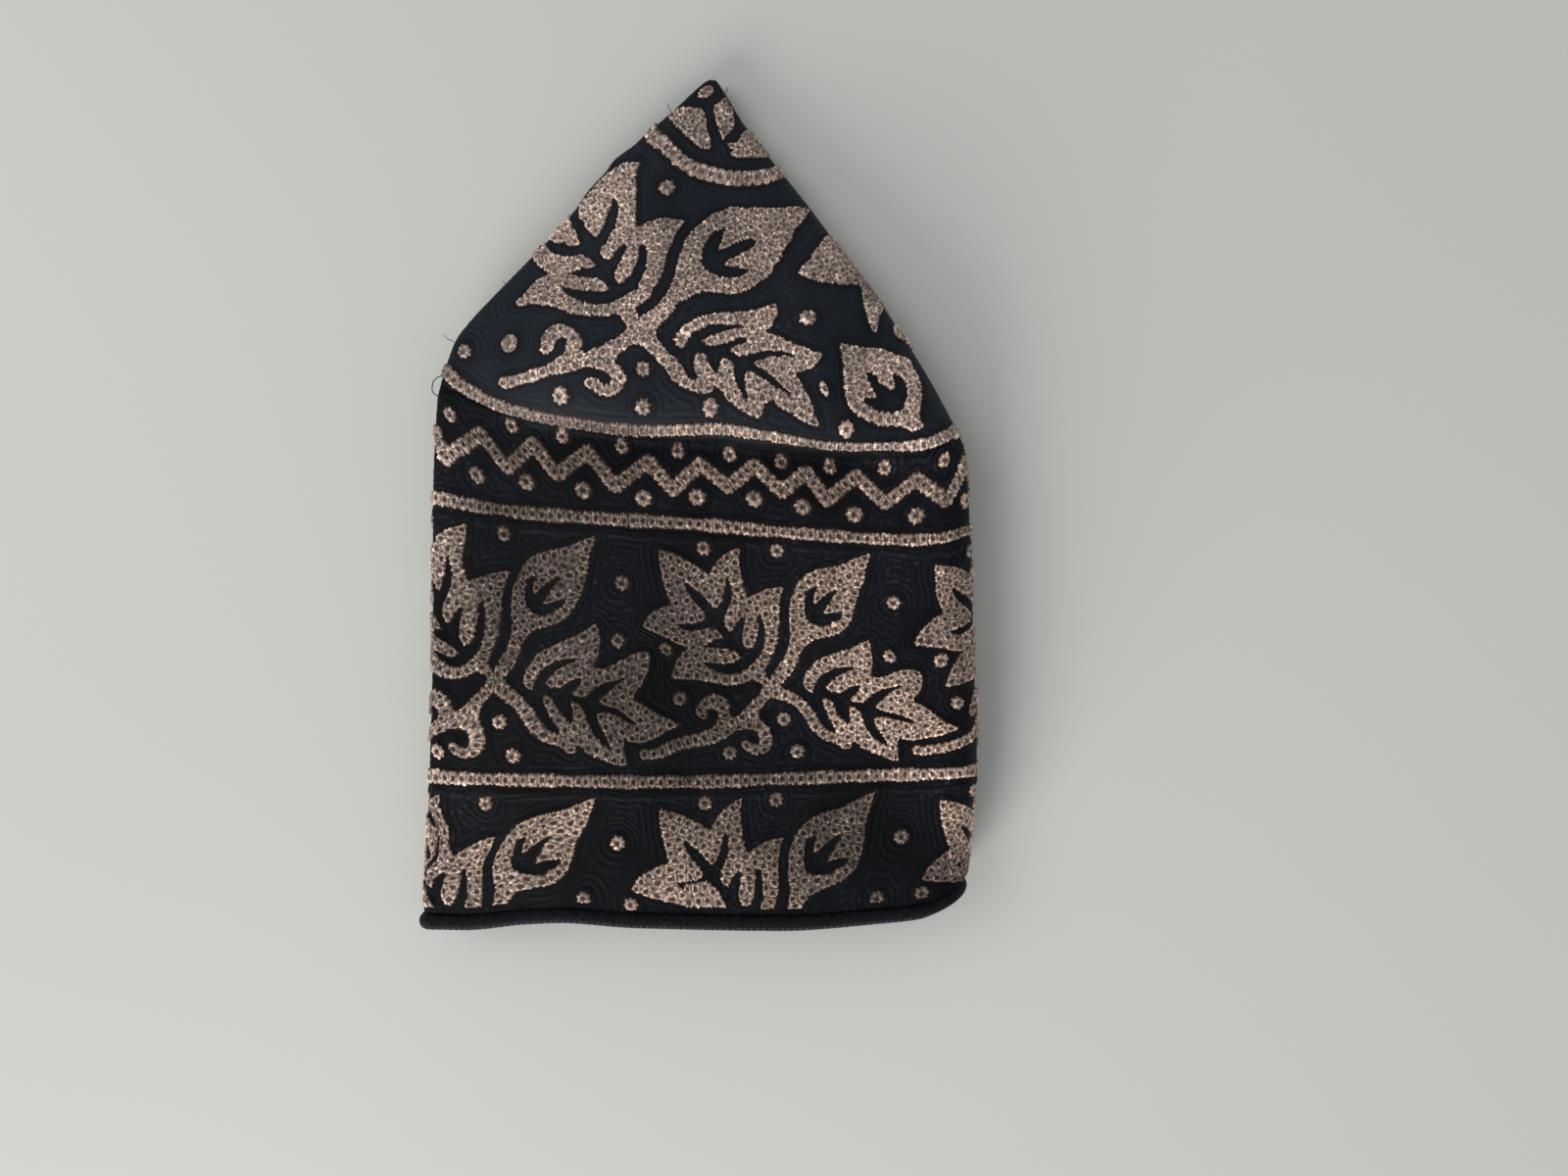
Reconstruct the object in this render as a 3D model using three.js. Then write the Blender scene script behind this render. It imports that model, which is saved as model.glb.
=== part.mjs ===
// Omani kuma cap folded flat in quarters, lying on its lower layer. Millimetres, +Z up.
// The cap is one tube of cloth: the crown closes it at the tip (+Y), the mouth is open at -Y.
// Each cross-section is a closed C: the upper layer, the thick outer fold on the right, the lower
// layer on the floor, and two inner layers that turn back at the inner fold.
import * as THREE from "three";

// Cloth, measured along the meridian from the crown's tip.
const WALL = 2.0;
const PIECE_GAP = 0.34;
const CROWN_SLANT = 104;
const TIP_ROW = 12;
const STRIPE_2 = 131.5;
const STRIPE_3 = 195.2;
const HEM_TOP = 227.8;
const HEM_END = 231.6;
const HEM_THICK = 3.2;

// Folds.
const OUTER_FOLD_REACH = 9;
const INNER_FOLD_REACH = 1.6;
const INNER_FOLD_INSET = 10.2;
const APEX = { x: 1.6, y: 111.9 };
const TIP_POINT = { x: 2.3, y: 113.0, z: 4.2 };

// The crown's folded edges bow outwards: degrees, by share of the way from tip to seam.
const LEFT_EDGE_BOW = [
  [0, 3.6],
  [0.2, 4.0],
  [0.34, 4.5],
  [0.5, 3.7],
  [0.8, 3.3],
  [0.88, 3.0],
  [0.95, 1.4],
  [1, 0],
];
const RIGHT_EDGE_BOW = [
  [0, 4.0],
  [0.2, 4.1],
  [0.34, 4.3],
  [0.5, 3.7],
  [0.66, 2.7],
  [0.81, 1.5],
  [0.92, 0.7],
  [1, 0],
];

// Heights of the middle of each layer: at the crown's tip row, at the seam and band, at the hem.
const UPPER_Z = { tip: 7.9, seam: 19.0, band: 19.9, hem: 20.7 };
const UPPER_LEFT_Z = { tip: 7.9, band: 12.8, hem: 13.8 };
const BACK_UPPER_Z = { tip: 5.6, band: 10.9, hem: 12.8 };
const BACK_UPPER_LEFT_Z = { tip: 5.6, band: 8.2, hem: 9.5 };
const BACK_LOWER_Z = { tip: 3.3, band: 8.6, hem: 9.3 };
const BACK_LOWER_LEFT_Z = { tip: 3.3, band: 5.6, hem: 5.9 };
const LOWER_Z = { tip: 1.0, band: 1.0, hem: 1.65 };
const HEM_LIFT_START = 205;

// Left and right edges of the folded band against the meridian.
const EDGE_LEFT = [
  [104, -67.2],
  [107, -67.9],
  [112, -68.3],
  [131.5, -69.1],
  [165, -69.2],
  [195.2, -70.0],
  [231.6, -71.2],
];
const EDGE_RIGHT = [
  [104, 65.9],
  [107, 66.8],
  [131.5, 68.1],
  [160, 68.9],
  [195.2, 69.9],
  [205, 69.0],
  [227.8, 66.6],
  [231.6, 65.3],
];

// Rows across the fold, share of the width from the left edge against Y.
const ROW_SEAM = [
  [0, 30.5],
  [0.1, 23.3],
  [0.215, 19.5],
  [0.38, 17.2],
  [0.51, 16.6],
  [0.69, 13.9],
  [0.84, 12.6],
  [0.92, 13.6],
  [1, 17.3],
];
const ROW_STRIPE_2 = [
  [0, 2.6],
  [0.114, -0.5],
  [0.227, -2.4],
  [0.513, -5.1],
  [0.69, -7.3],
  [0.888, -8.8],
  [0.941, -8.3],
  [1, -5.6],
];
const ROW_STRIPE_3 = [
  [0, -68.8],
  [0.06, -69.4],
  [0.51, -69.1],
  [0.65, -68.3],
  [0.93, -67.1],
  [1, -66.9],
];
const ROW_HEM = [
  [0, -106.9],
  [0.08, -106.4],
  [0.2, -104.2],
  [0.28, -103.6],
  [0.4, -104.6],
  [0.67, -105.8],
  [0.85, -104.3],
  [0.92, -103.2],
  [0.96, -100.9],
  [1, -97.8],
];

// The crown's rim swells over the seam and shades a valley in the band below it.
const SWELL_Z = [
  [12, 0],
  [25, 1.3],
  [40, 3.5],
  [60, 6.7],
  [75, 8.5],
  [85, 9.2],
  [91, 8.9],
  [95, 8.1],
  [98, 6.9],
  [100, 5.7],
  [101.5, 4.3],
  [102.8, 2.65],
  [104, 0.3],
  [106, -0.6],
  [108.5, -1.45],
  [111.5, -1.75],
  [114.7, -1.5],
  [119, -0.8],
  [124, -0.2],
  [131.5, 0],
];
const SWELL_Y = [
  [75, 0],
  [85, -0.4],
  [91, -0.9],
  [95, -1.45],
  [98, -1.7],
  [100, -1.6],
  [102.8, -1.4],
  [104, -0.9],
  [106, 0.4],
  [108.5, 1.65],
  [111.5, 2.8],
  [114.7, 3.35],
  [119, 2.65],
  [124, 1.6],
  [131.5, 0],
];

// Samples: pieces of the loop and rows along the meridian.
const UPPER_STEPS = 16;
const LOWER_STEPS = 8;
const FOLD_STEPS = 7;
const EDGE_STEPS = 3;
const CROWN_ROWS = [12, 22, 34, 46, 58, 68, 77, 84, 90, 94.5, 98, 100.5, 102.3];
const BAND_ROWS = [106, 108.5, 111.5, 115, 119.5, 125, 132, 145, 160, 175, 190, 205, 216];
const TIP_SHARES = [0.62, 0.28];

// Shape-keeping cubic through a short table.
function curve(table) {
  const n = table.length;
  const xs = table.map((p) => p[0]);
  const ys = table.map((p) => p[1]);
  const slopes = [];
  for (let i = 0; i < n - 1; i++) slopes.push((ys[i + 1] - ys[i]) / (xs[i + 1] - xs[i]));
  const m = [slopes[0]];
  for (let i = 1; i < n - 1; i++) {
    const a = slopes[i - 1];
    const b = slopes[i];
    m.push(a * b <= 0 ? 0 : (2 * a * b) / (a + b));
  }
  m.push(slopes[n - 2]);
  return (x) => {
    if (x <= xs[0]) return ys[0];
    if (x >= xs[n - 1]) return ys[n - 1];
    let i = 0;
    while (x > xs[i + 1]) i++;
    const w = xs[i + 1] - xs[i];
    const t = (x - xs[i]) / w;
    const t2 = t * t;
    const t3 = t2 * t;
    return (
      ys[i] * (2 * t3 - 3 * t2 + 1) +
      m[i] * w * (t3 - 2 * t2 + t) +
      ys[i + 1] * (3 * t2 - 2 * t3) +
      m[i + 1] * w * (t3 - t2)
    );
  };
}

const edgeLeft = curve(EDGE_LEFT);
const edgeRight = curve(EDGE_RIGHT);
const rowSeam = curve(ROW_SEAM);
const rowStripe2 = curve(ROW_STRIPE_2);
const rowStripe3 = curve(ROW_STRIPE_3);
const rowHem = curve(ROW_HEM);
const swellZ = curve(SWELL_Z);
const swellY = curve(SWELL_Y);
const leftBow = curve(LEFT_EDGE_BOW);
const rightBow = curve(RIGHT_EDGE_BOW);
const lerp = (a, b, t) => a + (b - a) * t;

function smooth(a, b, x) {
  const t = Math.min(1, Math.max(0, (x - a) / (b - a)));
  return t * t * (3 - 2 * t);
}

// A height level at meridian v, from its values at the tip row, band and hem.
function level(z, v) {
  const q = Math.min(1, Math.max(0, (v - TIP_ROW) / (CROWN_SLANT - TIP_ROW)));
  let h = lerp(z.tip, z.seam ?? z.band, q);
  if (z.seam !== undefined) h = lerp(h, z.band, smooth(CROWN_SLANT, STRIPE_2, v));
  return lerp(h, z.hem, smooth(HEM_LIFT_START, HEM_TOP, v));
}

// Plan position at meridian v and share t of the folded width.
function plan(v, t) {
  if (v >= CROWN_SLANT) {
    const x = lerp(edgeLeft(v), edgeRight(v), t);
    let y;
    if (v < STRIPE_2) {
      y = lerp(rowSeam(t), rowStripe2(t), (v - CROWN_SLANT) / (STRIPE_2 - CROWN_SLANT));
    } else if (v < STRIPE_3) {
      y = lerp(rowStripe2(t), rowStripe3(t), (v - STRIPE_2) / (STRIPE_3 - STRIPE_2));
    } else {
      y = lerp(rowStripe3(t), rowHem(t), (v - STRIPE_3) / (HEM_END - STRIPE_3));
    }
    return [x, y];
  }
  const q = v / CROWN_SLANT;
  const dx = lerp(edgeLeft(CROWN_SLANT), edgeRight(CROWN_SLANT), t) - APEX.x;
  const dy = APEX.y - rowSeam(t);
  const bow = rightBow(q) * t * t - leftBow(q) * (1 - t) * (1 - t);
  const angle = Math.atan2(dx, dy) + THREE.MathUtils.degToRad(bow);
  const reach = Math.hypot(dx, dy) * q;
  return [APEX.x + reach * Math.sin(angle), APEX.y - reach * Math.cos(angle)];
}

function width(v) {
  const a = plan(v, 0);
  const b = plan(v, 1);
  return Math.hypot(b[0] - a[0], b[1] - a[1]);
}

// Reach of the outer fold, smaller where the stack is thin near the tip.
function foldReach(v) {
  return (OUTER_FOLD_REACH * (level(UPPER_Z, v) - level(LOWER_Z, v))) / (UPPER_Z.band - LOWER_Z.band);
}

// Middle surface of the cloth: segment name, share a along it, meridian v.
function middle(segment, a, v) {
  const w = width(v);
  const upperLeft = level(UPPER_LEFT_Z, v);
  const backUpperLeft = level(BACK_UPPER_LEFT_Z, v);
  const backLowerLeft = level(BACK_LOWER_LEFT_Z, v);
  const upper = level(UPPER_Z, v);
  const backUpper = level(BACK_UPPER_Z, v);
  const backLower = level(BACK_LOWER_Z, v);
  const lower = level(LOWER_Z, v);
  const upperReach = (upperLeft - backUpperLeft) / 2;
  const lowerReach = (backLowerLeft - lower) / 2;
  const fold = foldReach(v);
  const innerReach = INNER_FOLD_REACH * Math.min(1, fold / OUTER_FOLD_REACH + 0.2);
  const innerAt = 1 - (INNER_FOLD_INSET * fold) / OUTER_FOLD_REACH / w;
  const foldAt = 1 - fold / w;
  const rise = (t) => smooth(-0.06, 0.42, t);
  const share = (t, reach) => {
    const r0 = rise(reach / w);
    return t < reach / w ? 0 : (rise(t) - r0) / (1 - r0);
  };
  let t;
  let z;
  let swell = 0;
  if (segment === "upperEdge") {
    const angle = Math.PI * (1 - a);
    t = (upperReach * (1 - Math.sin(angle))) / w;
    z = (upperLeft + backUpperLeft) / 2 + upperReach * Math.cos(angle);
  } else if (segment === "upper") {
    t = lerp(upperReach / w, foldAt, a);
    z = lerp(upperLeft, upper, share(t, upperReach));
    swell = smooth(0, 0.26, t) * (1 - smooth(0.76, 1.02, t));
  } else if (segment === "outerFold") {
    const angle = Math.PI * a;
    t = foldAt + (fold * Math.sin(angle)) / w;
    z = (upper + lower) / 2 + ((upper - lower) / 2) * Math.cos(angle);
    if (a < 0.5) swell = (1 - smooth(0.76, 1.02, foldAt)) * Math.cos(angle) ** 2;
  } else if (segment === "lower") {
    t = lerp(foldAt, lowerReach / w, a);
    z = lower;
  } else if (segment === "lowerEdge") {
    const angle = Math.PI * a;
    t = (lowerReach * (1 - Math.sin(angle))) / w;
    z = (lower + backLowerLeft) / 2 - lowerReach * Math.cos(angle);
  } else if (segment === "backLower") {
    t = lerp(lowerReach / w, innerAt, a);
    z = lerp(backLowerLeft, backLower, share(t, lowerReach));
  } else if (segment === "innerFold") {
    const angle = Math.PI * a;
    t = innerAt + (innerReach * Math.sin(angle)) / w;
    z = (backLower + backUpper) / 2 - ((backUpper - backLower) / 2) * Math.cos(angle);
  } else {
    t = lerp(innerAt, upperReach / w, a);
    z = lerp(backUpperLeft, backUpper, share(t, upperReach));
  }
  const [x, y] = plan(v, t);
  return new THREE.Vector3(x, y + swell * swellY(v), z + swell * swellZ(v));
}

// Loop samples, paired so that sample i faces sample n - i across the hollow. The long layers
// are sampled closer near their ends, where the surface turns.
function loopSamples() {
  const out = [];
  const add = (segment, from, to, steps) => {
    for (let i = 0; i < steps; i++) {
      const s = i / steps;
      const long = segment === "upper" || segment === "backUpper";
      const a = long ? s - 0.07 * Math.sin(2 * Math.PI * s) : s;
      out.push([segment, lerp(from, to, a)]);
    }
  };
  add("upperEdge", 0.5, 1, EDGE_STEPS);
  add("upper", 0, 1, UPPER_STEPS);
  add("outerFold", 0, 1, FOLD_STEPS);
  add("lower", 0, 1, LOWER_STEPS);
  add("lowerEdge", 0, 0.5, EDGE_STEPS);
  add("lowerEdge", 0.5, 1, EDGE_STEPS);
  add("backLower", 0, 1, LOWER_STEPS);
  add("innerFold", 0, 1, FOLD_STEPS);
  add("backUpper", 0, 1, UPPER_STEPS);
  add("upperEdge", 0, 0.5, EDGE_STEPS);
  return out;
}
const LOOP = loopSamples();

// One loop of points at meridian v, pushed off the middle surface by offset and along the
// meridian by shift.
function ring(v, offset, shift = 0) {
  const e = 0.004;
  return LOOP.map(([segment, a]) => {
    const along = middle(segment, Math.min(1, a + e), v).sub(middle(segment, Math.max(0, a - e), v));
    const down = middle(segment, a, v + 0.8).sub(middle(segment, a, v - 0.8));
    const normal = new THREE.Vector3().crossVectors(down, along).normalize();
    return middle(segment, a, v)
      .addScaledVector(normal, offset)
      .addScaledVector(down.normalize(), shift);
  });
}

class Builder {
  constructor() {
    this.points = [];
    this.faces = [];
  }
  addRing(points) {
    const start = this.points.length;
    this.points.push(...points);
    return points.map((_, i) => start + i);
  }
  tri(a, b, c) {
    this.faces.push(a, b, c);
  }
  // Strip between two rings of equal count; flip turns its faces round.
  strip(upper, lower, flip) {
    const n = upper.length;
    for (let i = 0; i < n; i++) {
      const j = (i + 1) % n;
      if (flip) {
        this.tri(upper[i], upper[j], lower[j]);
        this.tri(upper[i], lower[j], lower[i]);
      } else {
        this.tri(upper[i], lower[i], lower[j]);
        this.tri(upper[i], lower[j], upper[j]);
      }
    }
  }
  mesh(name, colour) {
    const g = new THREE.BufferGeometry();
    const flat = this.points.flatMap((p) => [p.x, p.y, p.z]);
    g.setAttribute("position", new THREE.Float32BufferAttribute(flat, 3));
    g.setIndex(this.faces);
    g.computeVertexNormals();
    const m = new THREE.Mesh(g, new THREE.MeshStandardMaterial({ color: colour, roughness: 0.8 }));
    m.name = name;
    return m;
  }
}

// A tube of cloth over rows of [meridian, shift], open at both ends.
function addWall(b, rows) {
  const outer = rows.map(([v, shift]) => b.addRing(ring(v, WALL / 2, shift)));
  const inner = rows.map(([v, shift]) => b.addRing(ring(v, -WALL / 2, shift)));
  for (let i = 0; i + 1 < rows.length; i++) {
    b.strip(outer[i], outer[i + 1], false);
    b.strip(inner[i], inner[i + 1], true);
  }
  return { outer, inner };
}

function crown() {
  const b = new Builder();
  const rows = CROWN_ROWS.map((v) => [v, 0]);
  rows.push([CROWN_SLANT, -PIECE_GAP / 2]);
  const { outer, inner } = addWall(b, rows);
  b.strip(outer.at(-1), inner.at(-1), false);
  // The hollow ends in a narrow strip across the layers at the tip row.
  const first = inner[0];
  const n = first.length;
  for (let i = 0; i < n / 2; i++) {
    const a = first[i];
    const c = first[i + 1];
    const d = first[(n - i) % n];
    const e = first[n - i - 1];
    if (a !== d) b.tri(a, d, c);
    if (c !== e) b.tri(c, d, e);
  }
  // Outside, the tip rounds off to a point.
  const base = outer[0].map((i) => b.points[i]);
  const end = new THREE.Vector3(TIP_POINT.x, TIP_POINT.y, TIP_POINT.z);
  let last = outer[0];
  for (const s of TIP_SHARES) {
    const swell = Math.sqrt(1 - (1 - s) ** 2);
    const next = b.addRing(
      base.map((p) => new THREE.Vector3(lerp(end.x, p.x, s), lerp(end.y, p.y, s), lerp(end.z, p.z, swell))),
    );
    b.strip(next, last, false);
    last = next;
  }
  const [point] = b.addRing([end]);
  for (let i = 0; i < n; i++) b.tri(point, last[i], last[(i + 1) % n]);
  return b.mesh("crown", 0x4a443e);
}

function sideBand() {
  const b = new Builder();
  const rows = BAND_ROWS.map((v) => [v, 0]);
  rows.unshift([CROWN_SLANT, PIECE_GAP / 2]);
  rows.push([HEM_TOP, -PIECE_GAP]);
  const { outer, inner } = addWall(b, rows);
  b.strip(outer[0], inner[0], true);
  b.strip(outer.at(-1), inner.at(-1), false);
  return b.mesh("side_band", 0x57504a);
}

// The rolled edge of the mouth: a flattened roll swept round the loop.
function hem() {
  const b = new Builder();
  const centre = (HEM_TOP + HEM_END) / 2;
  const half = (HEM_END - HEM_TOP) / 2;
  const around = 8;
  const rings = [];
  for (let k = 0; k < around; k++) {
    const angle = (2 * Math.PI * (k + 0.5)) / around;
    const v = centre - half * Math.cos(angle) * 1.08;
    const offset = (HEM_THICK / 2) * Math.sin(angle) * 1.08;
    rings.push(b.addRing(ring(v, offset)));
  }
  for (let k = 0; k < around; k++) b.strip(rings[k], rings[(k + 1) % around], false);
  return b.mesh("hem", 0x17181c);
}

const cap = new THREE.Group();
cap.name = "omani_kuma_cap";
cap.add(crown(), sideBand(), hem());

// The origin is the bottom centre of the whole.
const box = new THREE.Box3().setFromObject(cap);
for (const piece of cap.children) {
  piece.geometry.translate(-(box.min.x + box.max.x) / 2, -(box.min.y + box.max.y) / 2, -box.min.z);
}

export default cap;
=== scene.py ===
import heapq
import math

import bpy
import numpy as np
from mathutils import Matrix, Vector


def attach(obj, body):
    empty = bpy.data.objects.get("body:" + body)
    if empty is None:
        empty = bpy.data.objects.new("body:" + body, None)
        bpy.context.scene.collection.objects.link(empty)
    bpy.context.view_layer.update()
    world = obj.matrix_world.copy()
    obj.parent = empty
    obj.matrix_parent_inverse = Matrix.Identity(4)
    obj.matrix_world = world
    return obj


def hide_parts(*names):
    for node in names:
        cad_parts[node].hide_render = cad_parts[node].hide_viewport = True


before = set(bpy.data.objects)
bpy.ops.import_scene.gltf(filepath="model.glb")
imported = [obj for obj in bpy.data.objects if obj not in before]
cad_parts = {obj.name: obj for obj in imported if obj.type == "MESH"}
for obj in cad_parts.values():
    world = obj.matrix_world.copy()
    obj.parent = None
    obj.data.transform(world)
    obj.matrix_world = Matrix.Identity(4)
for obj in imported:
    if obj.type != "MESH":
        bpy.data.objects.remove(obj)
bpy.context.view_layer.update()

# The cap's folded cloth, in millimetres, as the CAD model has it before it is centred. A row of the
# cloth is named by its distance from the tip, measured along the cloth.
TIP_ROW = 12.0
CROWN_SLANT = 104.0
STRIPE_2 = 131.5
STRIPE_3 = 195.2
HEM_LIFT_START = 205.0
HEM_TOP = 227.8
HEM_END = 231.6
HEM_THICK = 3.2
WALL_HALF = 1.0
SEAM_GAP = 0.02
FLOOR_GAP = 0.03
OUTER_FOLD_REACH = 9.0
INNER_FOLD_REACH = 1.6
INNER_FOLD_INSET = 10.2
APEX = (1.6, 111.9)
TIP_POINT = np.array([2.3, 113.0, 4.2])
TIP_BLUNTNESS = 0.09
TIP_BLUNT_RATE = 20

# Degrees that the crown's folded edges bow outwards, by the share of the way from tip to seam.
LEFT_EDGE_BOW = [(0, 5.6), (0.115, 6.6), (0.2, 7.6), (0.25, 7.2), (0.3, 8.2), (0.35, 6.6), (0.4, 6.0),
                 (0.47, 4.2), (0.52, 3.6), (0.8, 3.4), (0.88, 3.0), (0.95, 1.4), (1, 0)]
RIGHT_EDGE_BOW = [(0, 1.8), (0.2, 2.2), (0.34, 2.8), (0.5, 2.5), (0.66, 2.3), (0.81, 1.5), (0.92, 0.7),
                  (1, 0)]

# Heights of each layer at the tip, the seam, the side band and the hem. Where the seam has none, the
# layer rises evenly from the tip to the band. The layers lie lower at their left folds.
UPPER_Z = (7.9, 19.0, 19.9, 20.7)
UPPER_LEFT_Z = (7.9, None, 12.8, 13.8)
BACK_UPPER_Z = (5.6, None, 10.9, 12.8)
BACK_UPPER_LEFT_Z = (5.6, None, 8.2, 9.5)
BACK_LOWER_Z = (3.3, None, 8.6, 9.3)
BACK_LOWER_LEFT_Z = (3.3, None, 5.6, 5.9)
LOWER_Z = (1.0, None, 1.0, 1.65)
LAYER_RISE = (-0.06, 0.42)

# The side band's folded edges, x by row of the cloth.
EDGE_LEFT = [(104, -67.2), (107, -67.9), (112, -68.3), (131.5, -69.1), (165, -69.2), (195.2, -70.0),
             (231.6, -71.2)]
EDGE_RIGHT = [(104, 65.9), (107, 66.8), (131.5, 68.1), (160, 68.9), (195.2, 69.9), (205, 69.0),
              (227.8, 66.6), (231.6, 65.3)]

# Where the seam, the stripes and the mouth run, y by the share of the folded width.
ROW_SEAM = [(0, 31.3), (0.1, 25.4), (0.14, 24.0), (0.215, 21.9), (0.26, 20.8), (0.38, 18.2),
            (0.51, 17.0), (0.69, 13.9), (0.84, 12.6), (0.92, 13.6), (1, 17.3)]
ROW_STRIPE_2 = [(0, 2.6), (0.114, -0.5), (0.227, -2.4), (0.513, -5.1), (0.69, -7.3), (0.888, -8.8),
                (0.941, -8.3), (1, -5.6)]
ROW_STRIPE_3 = [(0, -68.8), (0.06, -69.4), (0.51, -69.1), (0.65, -68.3), (0.93, -67.1), (1, -66.9)]
ROW_HEM = [(0, -108.0), (0.08, -107.8), (0.2, -105.6), (0.28, -104.8), (0.4, -105.6), (0.67, -106.3),
           (0.85, -104.5), (0.92, -103.4), (0.96, -101.2), (1, -98.4)]

# How far the crown's swell lifts the upper layer and moves it in y, by row, and the shares of the
# width over which it starts and stops.
SWELL_Z = [(12, 0), (25, 1.3), (40, 3.5), (60, 6.7), (75, 8.5), (85, 9.2), (91, 8.9), (95, 8.1),
           (98, 6.9), (100, 5.7), (101.5, 4.3), (102.8, 2.65), (104, 0.3), (106, -0.6), (108.5, -1.45),
           (111.5, -1.75), (114.7, -1.5), (119, -0.8), (124, -0.2), (131.5, 0)]
SWELL_Y = [(75, 0), (85, -0.4), (91, -0.9), (95, -1.45), (98, -1.7), (100, -1.6), (102.8, -1.4),
           (104, -0.9), (106, 0.4), (108.5, 1.65), (111.5, 2.8), (114.7, 3.35), (119, 2.65),
           (124, 1.6), (131.5, 0)]
SWELL_START = (0, 0.26)
SWELL_STOP = (0.76, 1.02)

# The camera stands straight above the cap. One unit of the charts below is one pixel of its picture.
CAMERA = np.array([20.8, -20.8, 314.0])
PICTURE_CENTRE = (800.0, 600.0)
PICTURE_WIDTH = 1600.0
PIXELS_PER_RADIAN = 1200.0

# Reading a chart: the first guess of a place's row and height, how far each round goes towards its
# result, and how far round the outer and the left fold the camera sees, as a share of their radius.
FIRST_ROW = 160.0
FIRST_HEIGHT = 21.0
EASING = 0.6
OUTER_SIGHT = 0.95
LEFT_SIGHT = 0.9

# Rounds of the searches: of a chart's places, of band rows and crown rows at a plan position, and of
# places before handwork moved them.
CHART_ROUNDS = 14
BAND_ROUNDS, CROWN_ROUNDS = 6, 10
HAND_ROUNDS = 5

# The cloth's meshes: points across the upper layer, rows of the outer and the lining side, the sides
# of the hem's roll. The lining side lies a share of the half wall under the middle, and the hem's
# wrapping stitches stand out as lumps.
AROUND = 250
CROWN_TIP_ROWS, CROWN_EVEN_START = (0.5, 1.2, 2.0), 2.8
CROWN_ROWS, CROWN_LINING_ROWS = 136, 18
BAND_ROWS, BAND_LINING_ROWS = 190, 22
LINING = 0.9
POINT_PITCH = 0.6
HEM_AROUND = 520
HEM_SIDES = 14
HEM_SIDE_PITCH = 0.7
HEM_POINT_PITCH = 0.32
HEM_LUMP_PITCH = 1.3
HEM_LUMP = 0.1
THREAD_SIDES = 6

# Fields of distances to the motifs: how far they reach, the value where no motif is near, their steps,
# and the corners or rows that they cover.
FIELD_REACH = 9.0
FAR = -FIELD_REACH
FIELD_STEP = 0.2
ZIGZAG_STEP = 0.25
CROWN_FIELD = ((-80.0, 6.0), (100.0, 116.0))
ZIGZAG_FIELD = ((-94.0, -2.0), (245.0, 26.0))
BAND_FIELD_ROWS = (126.0, 232.0)
ZIGZAG_ROW_END = STRIPE_2 - 2
EDGE_ROW_START = STRIPE_3 - 2.5

# Embroidery, in millimetres.
REPEAT = 70.0
BAND_REPEATS = range(-2, 5)
GROUND = 0.5
EYELET_PITCH = 2.4
EYELET_INSET = 1.2
EYELET_REACH = 2.3
LEAST_REACH = 0.35
EYELET_WANDER = 0.09
GAP_INSET = 0.7
SPOKES = 16
STRIPE_PITCH = 2.33
STRIPE_HALF = 1.68
STRIPE_WANDER = (0.12, 0.1)
ZIGZAG_PERIOD = 560.0 / 41
ZIGZAG_HALF = 1.9
ZIGZAG_WANDER = 0.12
CORNERS_BEFORE, CORNERS_AFTER = 3, 25
UPPER_DOT_RADIUS = 1.85
LOWER_DOT_RADIUS = 2.25
ZIGZAG_DOT_DROP = 9.4
BAND_DOT_RADIUS = 1.95
BAND_SWELL = 0.2
CROWN_SWELL = 0.12

# How far above the hem the embroidery ends, and the centres of its eyelets and of its dots.
HEM_MARGIN = 1.6
HEM_LEAF_MARGIN = 1.7
HEM_DOT_MARGIN = 1.5

# Where the crown's embroidery and then the side band's stop: as shares of the turns round the outer
# fold and the two left folds, and the crown's first rows on the upper side and the underside.
CROWN_OUTER_STOP = 0.97
CROWN_LEFT_STOP = (0.9, 0.6)
CROWN_FIRST_ROW = (1.2, 14)
BAND_LEFT_STOP = (0.85, 0.6)

# Packing the eyelets, as shares of their pitch: the least one, the one to the next, the least in a gap.
LEAST_PITCH = 0.97
NEXT_PITCH = 1.02
GAP_PITCH = 0.84

# Evening them out: how far a centre's own cloth reaches, and how far a round moves it to its middle.
RELAX_ROUNDS = 4
RELAX_REACH = 2.6
RELAX_SHARE = 0.7

# Heights of an eyelet's hole, lip, crest and shoulder, of the join to the next eyelet, and of the
# motif's edge, over the middle of the cloth.
TOP_HEIGHTS = (0.62, 0.72, 1.16, 1.06, 0.92, 0.32)
UNDER_HEIGHTS = (0.45, 0.55, 0.86, 0.8, 0.72, 0.3)

# Where its lip, crest and shoulder lie, as shares of its reach, and the same with the hole and the
# edge for the texture. Past HOLE_REACH its hole and crest no longer grow. At a motif's edge the
# spokes reach by turns over it and short of it.
LIP, CREST, SHOULDER = 0.26, 0.52, 0.82
EYELET_TEXTURE = (0.0, 0.27, 0.54, 0.82, 1.0)
HOLE_REACH = 1.5
TEETH = (1.08, 0.84)

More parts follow.
